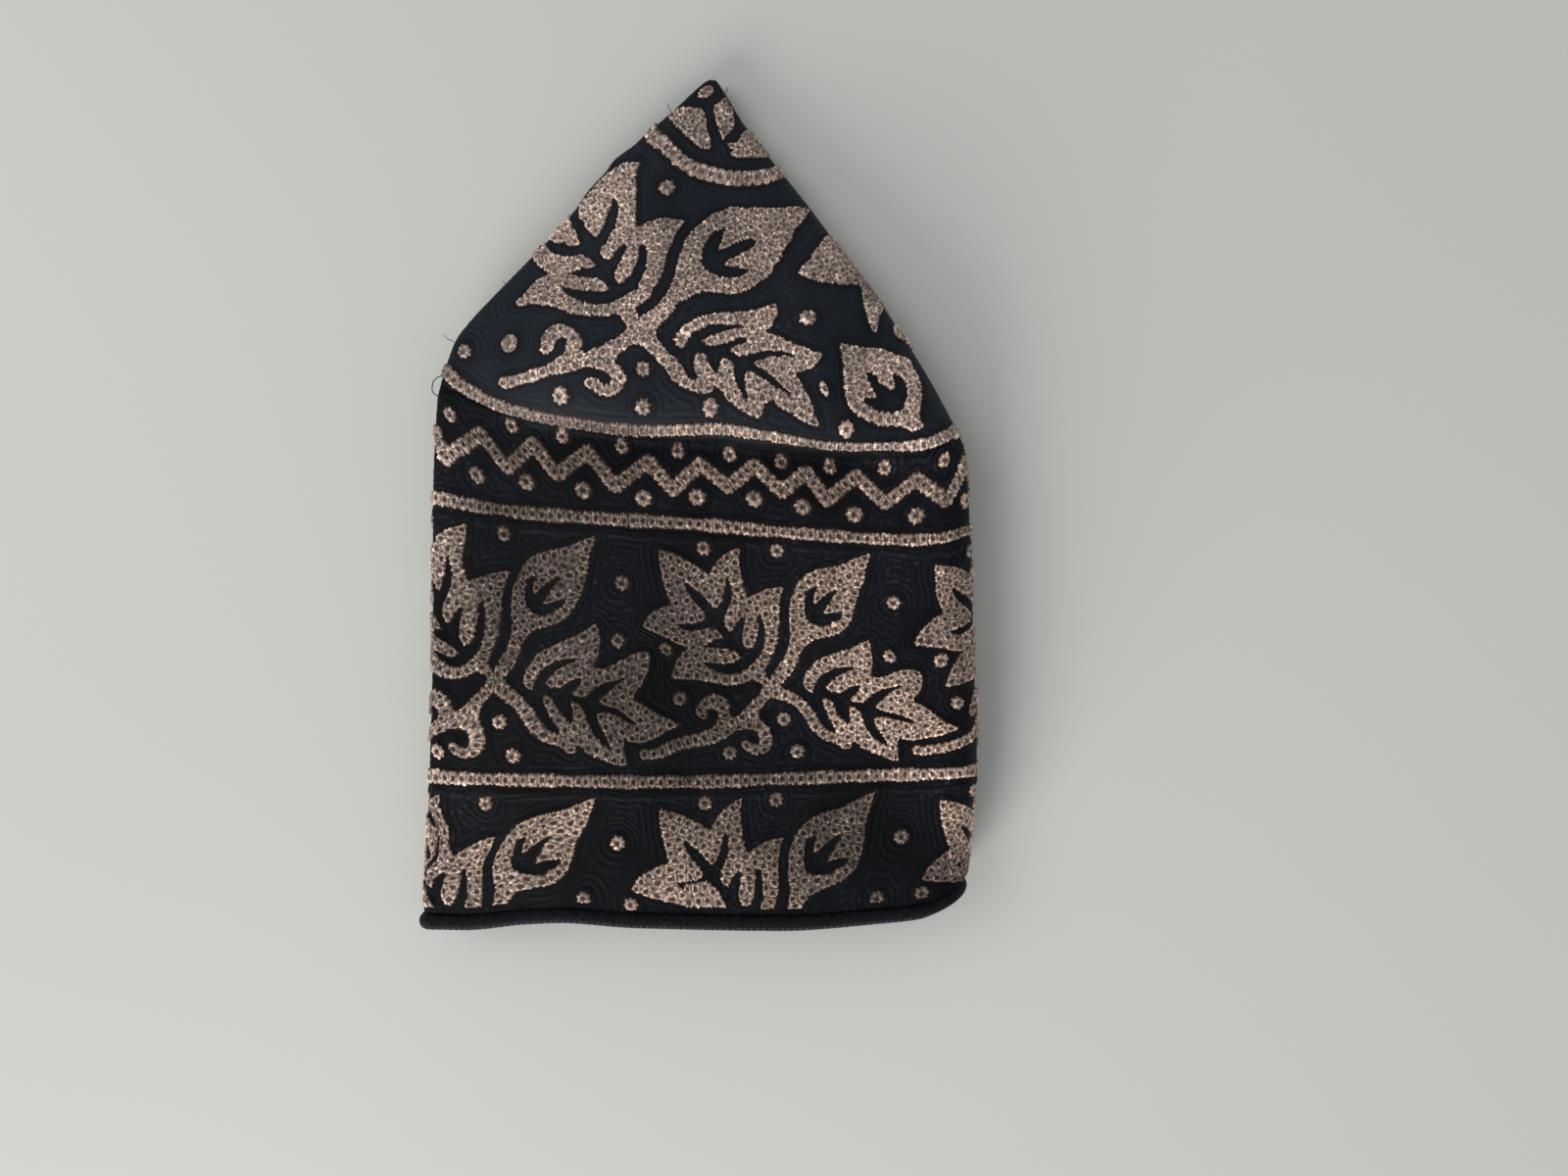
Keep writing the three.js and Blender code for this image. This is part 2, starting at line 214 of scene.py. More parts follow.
# The rim's stripe by the share of the folded width: half its width, its row, how much painted shade
# darkens its thread where it curls under the swell, and from where to where it runs round the folds.
RIM_SPAN = (-0.12, 1.35)
RIM_HALF = [(0, 1.9), (0.08, 1.7), (0.15, 1.5), (0.24, 1.3), (0.36, 1.4), (0.45, 1.3), (0.55, 1.4),
            (0.66, 1.2), (0.72, 0.95), (0.85, 0.9), (0.92, 1.45), (1, 1.7)]
RIM_ROW = [(0, 100.6), (0.04, 102.0), (0.09, 102.3), (0.14, 102.5), (0.24, 102.3), (0.36, 101.9),
           (0.46, 101.1), (0.56, 99.7), (0.64, 99.8), (0.74, 100.7), (0.84, 100.8), (0.9, 101.8),
           (0.95, 102.3), (1, 102.0)]
RIM_PAINTED_SHADE = [(0, 0.05), (0.06, 0.08), (0.1, 0.22), (0.16, 0.34), (0.3, 0.34), (0.42, 0.18), (0.6, 0.04),
           (1, 0)]

# A pool of light painted on the crown's thread: how far it reaches and how much brighter its middle is.
PAINTED_LIGHT_REACH = 16.0
PAINTED_LIGHT = 0.24

# The quilted ground: its echo lines round the motifs, and a ridge below each stripe of the side band.
ECHO_START = 0.25
ECHO_PITCH = 1.6
ECHO_SHIFT = 0.55
ECHO_HEIGHT = 0.1
ECHO_EDGE = (0.1, 0.7)
PAD_HEIGHT = 0.13
PAD_EDGE = (-0.15, 0.3)
RIDGE_ROWS = (135.0, 198.7)
RIDGE_HALF = 0.8
RIDGE_HEIGHT = 0.36

# A slanting dent of the side band that the cloth's shape does not have: its shade and light are painted
# into the colours of the band's thread and ground. Its painted light changes across it, and from its upper
# left end to its lower right one. Past FOLD_EDGE, towards the left fold, it fades out.
DENT_PLACE = (-47.8, -20.8)
DENT_WAY = (0.64, 0.77)
DENT_FROM = -49.0
DENT_SPAN = 112.7
DENT_MIDDLE = 49.0
DENT_CHANGE = 37.0
FOLD_EDGE = 20.0
FOLD_FADE = 13.0


def chart(text):
    """Picture points from pairs of x and y."""
    return np.array([[float(c) for c in pair.split(",")] for pair in text.split()])


# The leafy branch of the side band, one repeat, charted round its crossing.
BAND_CROSSING = chart("785,700")
BAND_LEAF = chart("""
684,693 687,684 691,673 698,665 703,661 692,657 680,651 668,646 655,641 659,632 666,625 676,620 685,616
681,606 677,594 674,578 673,561 687,565 702,573 714,580 724,587 729,577 737,568 746,562 755,559 754,572
757,590 760,603 763,611 772,606 784,601 800,599 797,608 795,622 795,642 792,660 786,674 780,685 786,699
777,697 768,694 757,697 746,699 735,698 722,695 705,693""")
BAND_LEAF_VEIN = chart("""
697,591 708,600 718,608 726,617 730,621 734,617 738,608 740,597 740,589 737,583 743,590 746,599 747,608
745,617 741,627 739,634 741,640 746,645 750,639 754,632 760,627 760,636 758,648 758,656 763,662 769,659
772,650 774,638 773,628 775,624 779,633 781,643 781,655 778,665 771,674 762,683 752,687 740,688 728,684
714,674 724,676 738,677 750,675 756,671 752,666 742,663 728,661 715,661 722,657 730,652 738,651 733,645
727,641 715,643 702,644 688,637 700,636 712,635 719,631 720,628 714,620 706,611 701,603""")
BAND_DROP = chart("""
886,567 870,572 858,577 845,579 832,582 822,587 815,594 810,603 807,613 806,624 806,640 807,648 806,655
804,662 798,675 791,685 783,700 792,704 800,695 806,689 813,676 816,669 823,658 830,653 838,651 849,649
858,645 865,639 869,631 872,622 874,613 877,603 880,593 881,583 884,573""")
BAND_DROP_VEIN = chart("""
834,597 828,600 824,602 822,608 821,617 821,625 823,632 827,636 833,638 842,639 850,636 857,632 862,625
855,625 847,625 840,627 843,622 847,615 851,608 857,600 850,602 845,605 838,610 831,617 831,610 833,603""")
BAND_SPRAY = chart("""
784,697 791,699 800,703 810,707 820,715 828,723 834,732 840,741 847,747 856,749 850,740 847,734 844,727
841,720 840,713 846,714 851,719 853,726 857,732 862,738 866,741 868,735 868,728 866,721 873,723 878,728
880,735 885,745 891,753 898,758 908,762 903,753 898,747 894,740 892,733 900,732 910,734 920,736 930,738
940,738 930,733 920,730 910,727 900,725 893,721 900,715 907,709 913,704 920,702 925,700 918,699 910,701
902,703 894,706 887,711 881,717 873,716 868,713 873,709 878,703 879,698 872,699 864,703 856,707 849,706
843,702 847,697 854,691 862,687 870,684 876,682 862,680 852,682 843,686 836,691 832,698 829,707 824,704
820,698 822,689 828,680 836,673 846,669 858,665 870,661 880,656 886,653 889,662 890,675 889,690 897,692
905,690 915,686 925,683 935,682 943,681 944,690 942,699 938,706 931,713 935,717 943,720 950,724 956,728
963,733 970,737 980,742 972,746 962,750 950,752 938,754 928,753 921,752 921,760 922,775 912,775 903,772
895,770 888,767 880,763 875,758 870,756 869,763 862,764 855,760 848,757 841,755 836,751 830,746 826,740
822,734 818,727 812,721 805,717 797,714 790,713 781,708""")
BAND_TENDRIL = chart("""
781,698 778,703 775,708 770,714 764,719 760,724 755,729 750,733 746,730 745,724 744,719 741,714 735,710
728,708 721,711 715,716 711,722 711,730 714,735 718,737 722,733 722,727 725,723 730,723 733,728 733,734
730,740 727,744 720,749 712,754 704,757 696,759 686,762 675,764 664,765 655,765 651,769 654,775 665,775
677,774 688,772 700,769 712,766 722,762 731,758 740,753 747,748 752,745 760,744 768,745 774,750 775,755
773,760 768,759 764,757 760,755 756,758 758,762 763,767 770,770 778,769 784,766 788,760 788,751 785,744
780,738 775,733 774,729 777,723 781,717 787,712 791,705""")
BAND_DOTS = chart("718,559 793,562 912,615 909,669 679,664 694,713 800,734 814,767 745,768")

# The second row is cut off by the hem, and ends in a leaf's end and two dots.
LOWER_LEAF_END = chart("700,903 725,900 734,912 745,925 723,924 700,922")
LOWER_DOTS = chart("895,917 941,912")

# Handwork moves the repeat's features: where the even repeat has them, and where they are.
HAND_SHIFTS = chart("""
599,549 608,548 549.5,598 547,603 523.5,617 522,617 588.5,598 597,598 581,629 583,627 501,685 501,685
516,584 519,585 483.5,647 476,658 467,626 456,634 475,658.5 463.5,668 459,682 459,685 482,722.5 482,721
482,751 459,763 491,766.5 474,772.5 504.5,747.5 493,753 455,700 443.5,711 625.5,602.5 636,594.5
622.5,662.5 631.5,653 678.5,664.5 678.5,664.5 694,713 694,713 518,730 509.5,738.5 531,766.5 522.5,772
466,764 444.5,766.5 598.5,647 609,638 543,699.5 540.5,705 657.5,679.5 664.5,665 589,713 589,709 609,718
614.5,713.5 693,748 692,740 634.5,779 640,779.5 579,765 583.5,768 608,734.5 611,728.5 556.5,710 554.5,711
583,720.5 587,719 562,701.5 560,700.5 511,542 515,546 444.5,534 434,533 474.5,539 476,538 463.5,575
456,575 598.5,819 607,816.5 523.5,885 503,885 525.5,923.5 506.5,923.5 548.5,864 534.5,866 581,883
579,881.5 514,853.5 501,853.5 503.5,895 480.5,895 482.5,918 455,918 465.5,901.5 435.5,900.5 474,818.5
444.5,812.5 480.5,864 457.5,869 511.5,816 494,821 625.5,865 631,857.5 675,826 675,826 656.5,900.5
647,901.5 718,890 716,890 884,813.5 892,809.5 806,885 805,885 809,925 809,925 870,872 878,870 859,896.5
864.5,891 912,861.5 921,852.5 745,902.5 741,899.5 764,920.5 760.5,921.5 730.5,880.5 726,879.5 793,816
792,816.5 717.5,821 719.5,819 752.5,820 754.5,816.5 960,818 960,818 942,896 942,896 884,570 887,567.5
959.5,577 954,579 942.5,649 933,658.5 973,693 967,701.5 979.5,661.5 978.5,665 969,623 961.5,625 982.5,600
971,601 977,642 969,645 965,668.5 959,677 978.5,711 978.5,718 940.5,765 933,766.5 611,917 596.5,915.5
657,912 645,917 895,917 895,917 941,912 941,912 785,700 785,700 807,613 807,613 830,700 830,700 737,583
737,583 880,756 880,756 650,769 650,769""")
# How far around a feature its move still counts, in millimetres, how much less it counts there where
# no feature is near, and how far from a stripe the moves fade in.
HAND_REACH = 6.0
HAND_HOLD = 0.12
HAND_FADE = (2.0, 3.6)

# The zigzag row's corners, from a peak at the left fold to one at the outer fold, and its dots.
ZIGZAG_CORNERS = chart("""
444,441 453,468 490,442 517.5,477 543.5,452 568,484 599.5,460 627.5,496 661,470 687,499.5 714.5,473
743,496.5 770.5,474 797,501.5 822.5,481 844,510 873.5,485 903.5,513 935,488.5 966.5,511 985,472""")
ZIGZAG_UPPER_DOTS = chart("""
458.6,422.7 522,434.3 573.7,444.1 634.5,455.7 691.8,460 744,458.2 796.7,463.5 847,473 903,474 964.5,469.4""")
ZIGZAG_LOWER_DOTS = chart("""
486,484.3 537,491.4 594.8,500 656.4,508 711,507 769.6,508.4 819.2,517 872,524.7 935.3,526 986,511""")

# The crown's larger branch and what stands round it.
CROWN_BRANCH = chart("""
525,310 530,304 536,298 541,292 549,285 557,280 561,279 557,276 551,272 546,268 542,263 530,262 526,252
538,244 550,250 556,251.5 561.5,256 566,259 571,260 580,261 588,261 592,259 597,261 601.5,264 604,267
608,269.5 604,271.5 597,272.6 592,273 587,275 582,278 578,279.4 581,280 587,281 595,282 603,283 609,283
614,286 618,289.5 621,295.5 616,296 609,296 603,295.6 596,295.6 591,295.4 585,294 579,293.6 571,290
573,295 578.5,300 585,304 590,306 597,308 603.5,310 610,310 617,310 624.5,308 630,305 636,302.5 640,300
645.5,296.6 650,295 652,289 655,283 658,277 659.5,269 660,260 660,250.6 655,249 653,250.6 652,260.5
650,266 647,273 643,280 638,284.5 633,289 631,288 627,280 628,274.6 631,269 635.5,262 638,256 640,250.6
637,247.4 630,252.6 626,259 622,263 619.5,264 614,261 612,257 615,250.5 619,246 622,240 625,235 628,229
630,222 631,215.6 631,209.5 629,204 625.6,200 624.6,203 622,210.5 619,218 617,224 614,232 611,237
605.6,241 603,238 597,231 595,225 591,222 590,215.6 590,211.5 592,208 603,194 618,178 631,167
637,165 644,165.5 649,166 653,163 651,169.5 649,177 648,184 649,193 648,201 649,211.5 648,222
649,231 654,230 658,227 666.5,224.6 676,222 683.5,222 690.5,224 698,224 697,227 693,232 690.5,236.5
688,242 685,249 682,255 680,263 678,270 676,279 672,286 666.5,294 664,301 657,307 651,310.6 649,314
649,317 651.7,322.6 657,320.5 662,317 668,314 672,310 676,304 680.6,298.6 685,289 689,280 690,273
692,267.6 693,260.5 697,250.6 699,245 703,239 710,232 717,227 721.6,222 728.6,217 736,215 741,212
750,211 761,212 772,211 784,212 796,212 806,210.5 817.5,211 826,213 825,217 822,221 817.5,227 813,232
809,239 807.6,245 802,250.6 799,258 795,265 791,269 788,276 782,283 775,286.6 769.5,291.6 762.5,295
754,298 745.5,299 737,298 730,297.5 722,297 713,298 707,300 702,304 696,306 690.5,310 688,315.5
683.5,320 680.6,324 677,327 672,332 669,340 672,348 680,355.6 684.4,362 690,364.5 694,370 697,374
700,381 704,385 709,387 713,386.6 710,380.6 708,374 708,367.5 708.5,361 711.6,359 718,360 722,361.5
722,365 723,371 726,375 729,379.5 730.7,384 731,380.6 734.5,375 735,370 736,365 741,365 746,368 749,371
748.6,376 750,383 751,389 754,396 757,401 760.6,407 764,409.5 762,403.5 761,398 760.6,392.6 760,387
760.6,382 763,377 768,379.5 775,384 781,387 786,390 792,395 799,398 805,402 810.7,406 806,400 800,395
794,389 789,384 782,379.5 776,375 770,371 769,370 772.6,367.5 780,365 789,363 794,364 800,362 805,364
812,366 805,362 800,359 792,357.7 784.6,357 776,358 770,359.7 764,360.5 758,363 753,362 749,359
745,357.7 743.7,356 747.5,354.5 751,352 756,350 760.6,348.5 763,347 760.6,344 756,344 750,346
743,348.5 736.6,350 729,352 723.6,352 720,351 715,348 720,345 726,342 732,340 739,337.6 747.5,335
755,334 763,333 756,331.6 747.5,331 739,330 731,330 723.6,331 716,335 709,338 705,341 702,347 700,351
697,356 693,353 689,350 687.6,346 689,341 692,337 696,334 698.5,330.5 704,327 710.5,324 718,322
727,319.6 738,318 747.5,318 757,317 767,316 776,315 781,312.5 788,310 791,308.7 793,313 793,320 790,326
787,332 781,338 787,340 793,342 801,345 808.5,348 816,352 825,355.6 832.5,358 840,359 838,364 834,370
828,375 820.5,378 812,380.6 815,386 819,392.6 823,399 826,406 829,412 831,419 832.5,424 835,430 837,436
830,434.5 824,432 816,427.5 807.5,422 800,417.6 794,415 790,410 784.6,408 781,412 779,418 778,422
775,427 767,425 760.6,421.5 754,418 749,413 742,408 739,402 734.5,397 732,394 729,394 727,398 721,401
715,401 708,399 702,397 695,394 690,390 685,387 682,382 680,378 672,369 666,362 659,356 656,353 653,350
647,351 640,353 637.6,357 631,360 628.5,365 627,369 631,373 636,375 636,379 639,384 637.6,390 636,395
631,400 624.5,404 618,404 610,402 603.5,398 598,394.5 595,390.5 597,387 602,385 609,386 613,389 615,392
620.6,392 624,387 623,383 619,381 615,378 609,376 601,374 594,375 589,377 580,379 571,381 560,383
552,386 544,389 534,391 525,394.5 518,396 513,396 509.5,394 508,388.5 511.5,385 521,383 531,381 542,377
552,374 560,370 567,366 571,363 576,358 577,353 578,346.5 574,343 569,344.5 565,348 565,352 563,356
559,360 552,360 550,356 551,352 552,345 554,341 559,335 564,331 571,330 577,331 583,334 588,337 592,341
594,346.5 594,352 592,356 594,358 597,360 601,357 607,354 614,352 619,348.5 626,346 631,343 635,340
639,336 640,335 639,331 636,327 634,322 632,320 628.5,320 623,321 614,322 603.5,321.5 593,321 585,320
578.5,318 572,315 565,312 559,311 550,310 540,309 534,311 526,310.4""")
CROWN_DROP_VEIN = chart("""
740,232 730,235 724,240 721,246 717,253.5 716,260.5 716,267.6 719,273 724,277 730,280 740,283 750,283
758,281 762.5,277 763,274 755,272.5 747,271 740,270 741,267 747,263 755,259 762.5,255 769.5,250.6
771.6,246 769.5,243 761,243 753,246 744,250.6 733,254 731,254 737,246 738,239 740,234""")
CROWN_LOBE = chart("""
579,224 583,228 582,232 585,233 588,238 589,243 592,248 586,249.5 578,249 576,246 570,247 565,246
558,244 548,240 554,226 566,214 575,217""")
CROWN_RIGHT_LEAF = chart("""
815,278 826,283 840,287 852,288.6 866,290 878,289.5 880,294 881,304 883,315 886.5,327 892,338 894,339
897,328 900,318 904,311 918,316 940,314 950,300 936,268 915,240 893,222 872,212 858,222 849,239 845,240
837,248 830,257.5 827,264 819,271""")
CROWN_SLIVER = chart("912.5,332 922,328 940,334 948,348 936,356 924,346.6 919,346 914,339")
CROWN_DROP = chart("""
857,349 869,352 881,353.5 895,355 905.5,357 914,361 928,367 933,377 938,387 941,398 940,410 939,420
941,430 945,434 938,438 932,440 925,436.5 914,435 900,435 888,430.5 878,425 869,417 864,406 862,394
861,382 861,372 859,361""")
CROWN_DROP_2_VEIN = chart("""
884,380 890,380 897,385 897,391 902,391.6 907,396 912.5,398 913,394 912,387 912.5,382 919,382 924,389
926,399 925,408 921,417 911,420 899,419 890,415 883,410 882,407 892,405 899,407.6 894,403 890,396
886.5,387""")
# Where the crown's painted pool of light is brightest.
PAINTED_LIGHT_PLACE = chart("898,380")
CROWN_OVAL = chart("835,389 838,387.5 842,389.5 846,397 847.5,403 845.5,405.5 841,403 836.5,396")
CROWN_DOTS = chart("""
680.4,190.5 825,323 841.3,396.5 725,416 473,358 519.4,350 571,404 656,376 656,415.5 864,438""")
# Their radii in millimetres. The third has the oval for its outline.
CROWN_DOT_RADII = [2.25, 2.25, 0, 2.125, 2, 2.375, 2.125, 1.875, 2, 2]
TIP_LEAVES = [
    chart("""680,120 686,123.5 690,129 695,131.5 699,137 705,141 709,145 716,150 725,151 725,144 723,137
    721,129 721,121 718.5,114 715,109.6 707,109 700,108.5 692,111 686,114"""),
    chart("""728,108.5 731,106 736,100 740,100 744,107 748.5,114 750,121 749,129 744,135 740,138.5
    738,142.5 736,137 733,130 731,123.5 729,116.5"""),
    chart("""741.5,145 750,146.5 754,142 756.5,137 762,133 767,134 778,128 794,140 802,154 788,157 784,159
    773,160 762,159 753,160 747,157.5 744,154.6 750,152 744,149"""),
    chart("711.5,98 715,91 721,87 726.5,87 729,92 725,96 720,99"),
]
TIP_RING_MIDDLE = chart("""
650,119 658,130 667,140 677,147 687,155 697,164 707,171 718,175.5 730,178.5 742,181 755,182 768,181.5
780,180 790,177 800,174 815,168""")
TIP_RING = chart("""
653,112 661,121 669,129 676,131.5 680,137 686,144 692,150 699,157 708,163 720,167 731,170 740,172 750,173
761,174 773,173 782,171 789,169 795,168.5 806,164 822,156 830,168 812,177 801.5,181 792,183.5 786.5,186
778.5,189 767,190 755,190.4 744,190 732,187.5 721,185 709,181 698,175 690,171 685,164 678,159 669,151
662,147 656,139 646,128""")


def curve(table):
    """Shape-keeping cubic through a short table, for arrays."""
    xs = np.array([p[0] for p in table], float)
    ys = np.array([p[1] for p in table], float)
    slope = np.diff(ys) / np.diff(xs)
    m = np.empty(len(xs))
    m[0], m[-1] = slope[0], slope[-1]
    a, b = slope[:-1], slope[1:]
    m[1:-1] = np.where(a * b <= 0, 0, 2 * a * b / np.where(a + b == 0, 1, a + b))

    def at(x):
        x = np.clip(x, xs[0], xs[-1])
        i = np.clip(np.searchsorted(xs, x, side="right") - 1, 0, len(xs) - 2)
        w = xs[i + 1] - xs[i]
        t = (x - xs[i]) / w
        t2 = t * t
        t3 = t2 * t
        low = ys[i] * (2 * t3 - 3 * t2 + 1) + m[i] * w * (t3 - 2 * t2 + t)
        return low + ys[i + 1] * (3 * t2 - 2 * t3) + m[i + 1] * w * (t3 - t2)

    return at


edge_left, edge_right = curve(EDGE_LEFT), curve(EDGE_RIGHT)
row_seam, row_2, row_3, row_hem = curve(ROW_SEAM), curve(ROW_STRIPE_2), curve(ROW_STRIPE_3), curve(ROW_HEM)
swell_z, swell_y = curve(SWELL_Z), curve(SWELL_Y)
left_bow, right_bow = curve(LEFT_EDGE_BOW), curve(RIGHT_EDGE_BOW)
SEAM_LEFT = float(edge_left(CROWN_SLANT))
SEAM_RIGHT = float(edge_right(CROWN_SLANT))


def smooth(a, b, x):
    """A soft step from 0 at a to 1 at b."""
    t = np.clip((x - a) / (b - a), 0, 1)
    return t * t * (3 - 2 * t)


def between(grid, x, y):
    """Values between the points of a grid, at columns x and rows y with their fractions."""
    i, j = x.astype(int), y.astype(int)
    x, y = x - i, y - j
    top = grid[j, i] * (1 - x) + grid[j, i + 1] * x
    return top * (1 - y) + (grid[j + 1, i] * (1 - x) + grid[j + 1, i + 1] * x) * y


def unit(vectors):
    """The same directions with a length of 1."""
    return vectors / np.maximum(np.linalg.norm(vectors, axis=-1, keepdims=True), 1e-9)


def level(z, v):
    """Height of a layer at row v."""
    tip, seam, band, hem = z
    q = np.clip((v - TIP_ROW) / (CROWN_SLANT - TIP_ROW), 0, 1)
    h = tip + ((band if seam is None else seam) - tip) * q
    if seam is not None:
        h = h + (band - h) * smooth(CROWN_SLANT, STRIPE_2, v)
    return h + (hem - h) * smooth(HEM_LIFT_START, HEM_TOP, v)


def bow(t, q):
    """How far the crown's folded edges bow outwards, as a turn round the apex."""
    return np.radians(right_bow(q) * t * t - left_bow(q) * (1 - t) ** 2)


def band_span(v):
    """The side band's left edge and folded width along x."""
    left = edge_left(v)
    return left, edge_right(v) - left


def plan(v, t):
    """Plan position at row v and share t of the folded width."""
    vb = np.maximum(v, CROWN_SLANT)
    seam, two, three, hem = row_seam(t), row_2(t), row_3(t), row_hem(t)
    left, across = band_span(vb)
    xb = left + across * t
    y1 = seam + (two - seam) * (vb - CROWN_SLANT) / (STRIPE_2 - CROWN_SLANT)
    y2 = two + (three - two) * (vb - STRIPE_2) / (STRIPE_3 - STRIPE_2)
    y3 = three + (hem - three) * (vb - STRIPE_3) / (HEM_END - STRIPE_3)
    yb = np.where(vb < STRIPE_2, y1, np.where(vb < STRIPE_3, y2, y3))
    q = np.minimum(v, CROWN_SLANT) / CROWN_SLANT
    dx = SEAM_LEFT + (SEAM_RIGHT - SEAM_LEFT) * t - APEX[0]
    dy = APEX[1] - seam
    angle = np.arctan2(dx, dy) + bow(t, q)
    reach = np.hypot(dx, dy) * q
    low = v >= CROWN_SLANT
    return (np.where(low, xb, APEX[0] + reach * np.sin(angle)),
            np.where(low, yb, APEX[1] - reach * np.cos(angle)))


def unplan(x, y):
    """Row and share of the folded width at a plan position, found in rounds from a guess."""
    v = np.full(np.shape(x), FIRST_ROW)
    for _ in range(BAND_ROUNDS):
        vb = np.clip(v, CROWN_SLANT, HEM_END)
        left, across = band_span(vb)
        t = (x - left) / across
        seam, two, three, hem = row_seam(t), row_2(t), row_3(t), row_hem(t)
        v1 = CROWN_SLANT + (seam - y) / (seam - two) * (STRIPE_2 - CROWN_SLANT)
        v2 = STRIPE_2 + (two - y) / (two - three) * (STRIPE_3 - STRIPE_2)
        v3 = STRIPE_3 + (three - y) / (three - hem) * (HEM_END - STRIPE_3)
        v = np.where(y > two, v1, np.where(y > three, v2, v3))
    crown = v < CROWN_SLANT
    turn = np.arctan2(x - APEX[0], APEX[1] - y)
    reach = np.hypot(x - APEX[0], APEX[1] - y)
    tc = np.clip(t, -0.1, 1.2)
    q = np.full(np.shape(x), 0.5)
    for _ in range(CROWN_ROUNDS):
        base = np.clip(turn - bow(tc, q), -1.3, 1.3)
        goal = (APEX[0] + (APEX[1] - row_seam(tc)) * np.tan(base) - SEAM_LEFT) / (SEAM_RIGHT - SEAM_LEFT)
        tc = np.clip(goal, -0.25, 1.4)
        dx = SEAM_LEFT + (SEAM_RIGHT - SEAM_LEFT) * tc - APEX[0]
        q = reach / np.hypot(dx, APEX[1] - row_seam(tc))
    return np.where(crown, np.minimum(q, 1) * CROWN_SLANT, v), np.where(crown, tc, t)


def widths(v):
    """Folded width, the outer fold's reach, the share where it starts and its arc's length."""
    ax, ay = plan(v, np.zeros_like(v))
    bx, by = plan(v, np.ones_like(v))
    w = np.hypot(bx - ax, by - ay)
    stack = level(UPPER_Z, v) - level(LOWER_Z, v)
    fold = OUTER_FOLD_REACH * stack / (UPPER_Z[2] - LOWER_Z[2])
    arc = math.pi * np.sqrt(((fold + WALL_HALF) ** 2 + (stack / 2 + WALL_HALF) ** 2) / 2)
    return w, fold, 1 - fold / w, arc


def left_reach(v, layer):
    """Radius of the left fold of layer 1, the top, or 2, the underside."""
    if layer == 1:
        return (level(UPPER_LEFT_Z, v) - level(BACK_UPPER_LEFT_Z, v)) / 2
    return (level(BACK_LOWER_LEFT_Z, v) - level(LOWER_Z, v)) / 2


def left_turn(v, t, layer):
    """How far share t has turned round the left fold, from 0 where it starts to 1 where it ends."""
    w, reach = widths(v)[0], left_reach(v, layer)
    return (reach / w - t) * w / (math.pi * (reach + WALL_HALF))


# The loop that a row of the cloth makes, from the upper left fold round and in again.
UPPER_EDGE, UPPER, OUTER_FOLD, LOWER, LOWER_EDGE, BACK_LOWER, INNER_FOLD, BACK_UPPER = range(8)
# The steps of the meshes on its segments after the outer fold.
REST_STEPS = ((LOWER, 44), (LOWER_EDGE, 8), (BACK_LOWER, 26), (INNER_FOLD, 8), (BACK_UPPER, 30))


def middle(seg, a, v):
    """Middle surface of the cloth, at share a of a segment of the loop and row v."""
    seg, a, v = np.broadcast_arrays(seg, np.asarray(a, float), np.asarray(v, float))
    w, fold, fold_at, _ = widths(v)
    ul, bul, bll = level(UPPER_LEFT_Z, v), level(BACK_UPPER_LEFT_Z, v), level(BACK_LOWER_LEFT_Z, v)
    u, bu, bl, low = level(UPPER_Z, v), level(BACK_UPPER_Z, v), level(BACK_LOWER_Z, v), level(LOWER_Z, v)
    ur, lr = (ul - bul) / 2, (bll - low) / 2
    inner = INNER_FOLD_REACH * np.minimum(1, fold / OUTER_FOLD_REACH + 0.2)
    inner_at = 1 - INNER_FOLD_INSET * fold / OUTER_FOLD_REACH / w
    angle = math.pi * a
    sin, cos = np.sin(angle), np.cos(angle)

    def share(t, reach):
        start = smooth(*LAYER_RISE, reach / w)
        return np.where(t < reach / w, 0, (smooth(*LAYER_RISE, t) - start) / (1 - start))

    t = np.select(
        [seg == k for k in range(8)],
        [ur * (1 - sin) / w, ur / w + (fold_at - ur / w) * a, fold_at + fold * sin / w,
         fold_at + (lr / w - fold_at) * a, lr * (1 - sin) / w, lr / w + (inner_at - lr / w) * a,
         inner_at + inner * sin / w, inner_at + (ur / w - inner_at) * a])
    z = np.select(
        [seg == k for k in range(8)],
        [(ul + bul) / 2 - ur * cos, ul + (u - ul) * share(t, ur), (u + low) / 2 + (u - low) / 2 * cos,
         low, (low + bll) / 2 - lr * cos, bll + (bl - bll) * share(t, lr),
         (bl + bu) / 2 - (bu - bl) / 2 * cos, bul + (bu - bul) * share(t, ur)])
    swell = np.where(seg == UPPER, smooth(*SWELL_START, t) * (1 - smooth(*SWELL_STOP, t)), 0)
    swell = np.where((seg == OUTER_FOLD) & (a < 0.5), (1 - smooth(*SWELL_STOP, fold_at)) * cos**2, swell)
    x, y = plan(v, t)
    return np.stack([x, y + swell * swell_y(v), z + swell * swell_z(v)], -1)


def on_layer(v, t, layer):
    """Segment of the loop and share along it, from the unrolled share t of layer 1 or 2."""
    w, _, fold_at, arc = widths(v)
    start = left_reach(v, layer) / w
    turned = left_turn(v, t, layer)
    if layer == 1:
        seg = np.where(t < start, UPPER_EDGE, np.where(t <= fold_at, UPPER, OUTER_FOLD))
        a = np.where(t < start, 1 - turned, (t - start) / (fold_at - start))
        a = np.where(seg == OUTER_FOLD, (t - fold_at) * w / arc, a)
    else:
        seg = np.where(t < start, LOWER_EDGE, LOWER)
        a = np.where(t < start, turned, (fold_at - t) / (fold_at - start))
    return seg, np.clip(a, 0, 1)


def taper(points, v):
    """Draws points of the tip's last row in towards its blunt point, by row v."""
    s = np.clip(v / TIP_ROW, 0, 1)[..., None]
    blunt = s + TIP_BLUNTNESS * (1 - np.exp(-TIP_BLUNT_RATE * s)) * (1 - s)
    scale = np.concatenate([blunt, s, np.sqrt(np.maximum(1 - (1 - s) ** 2, 0))], -1)
    return np.where(s < 1, TIP_POINT + (points - TIP_POINT) * scale, points)


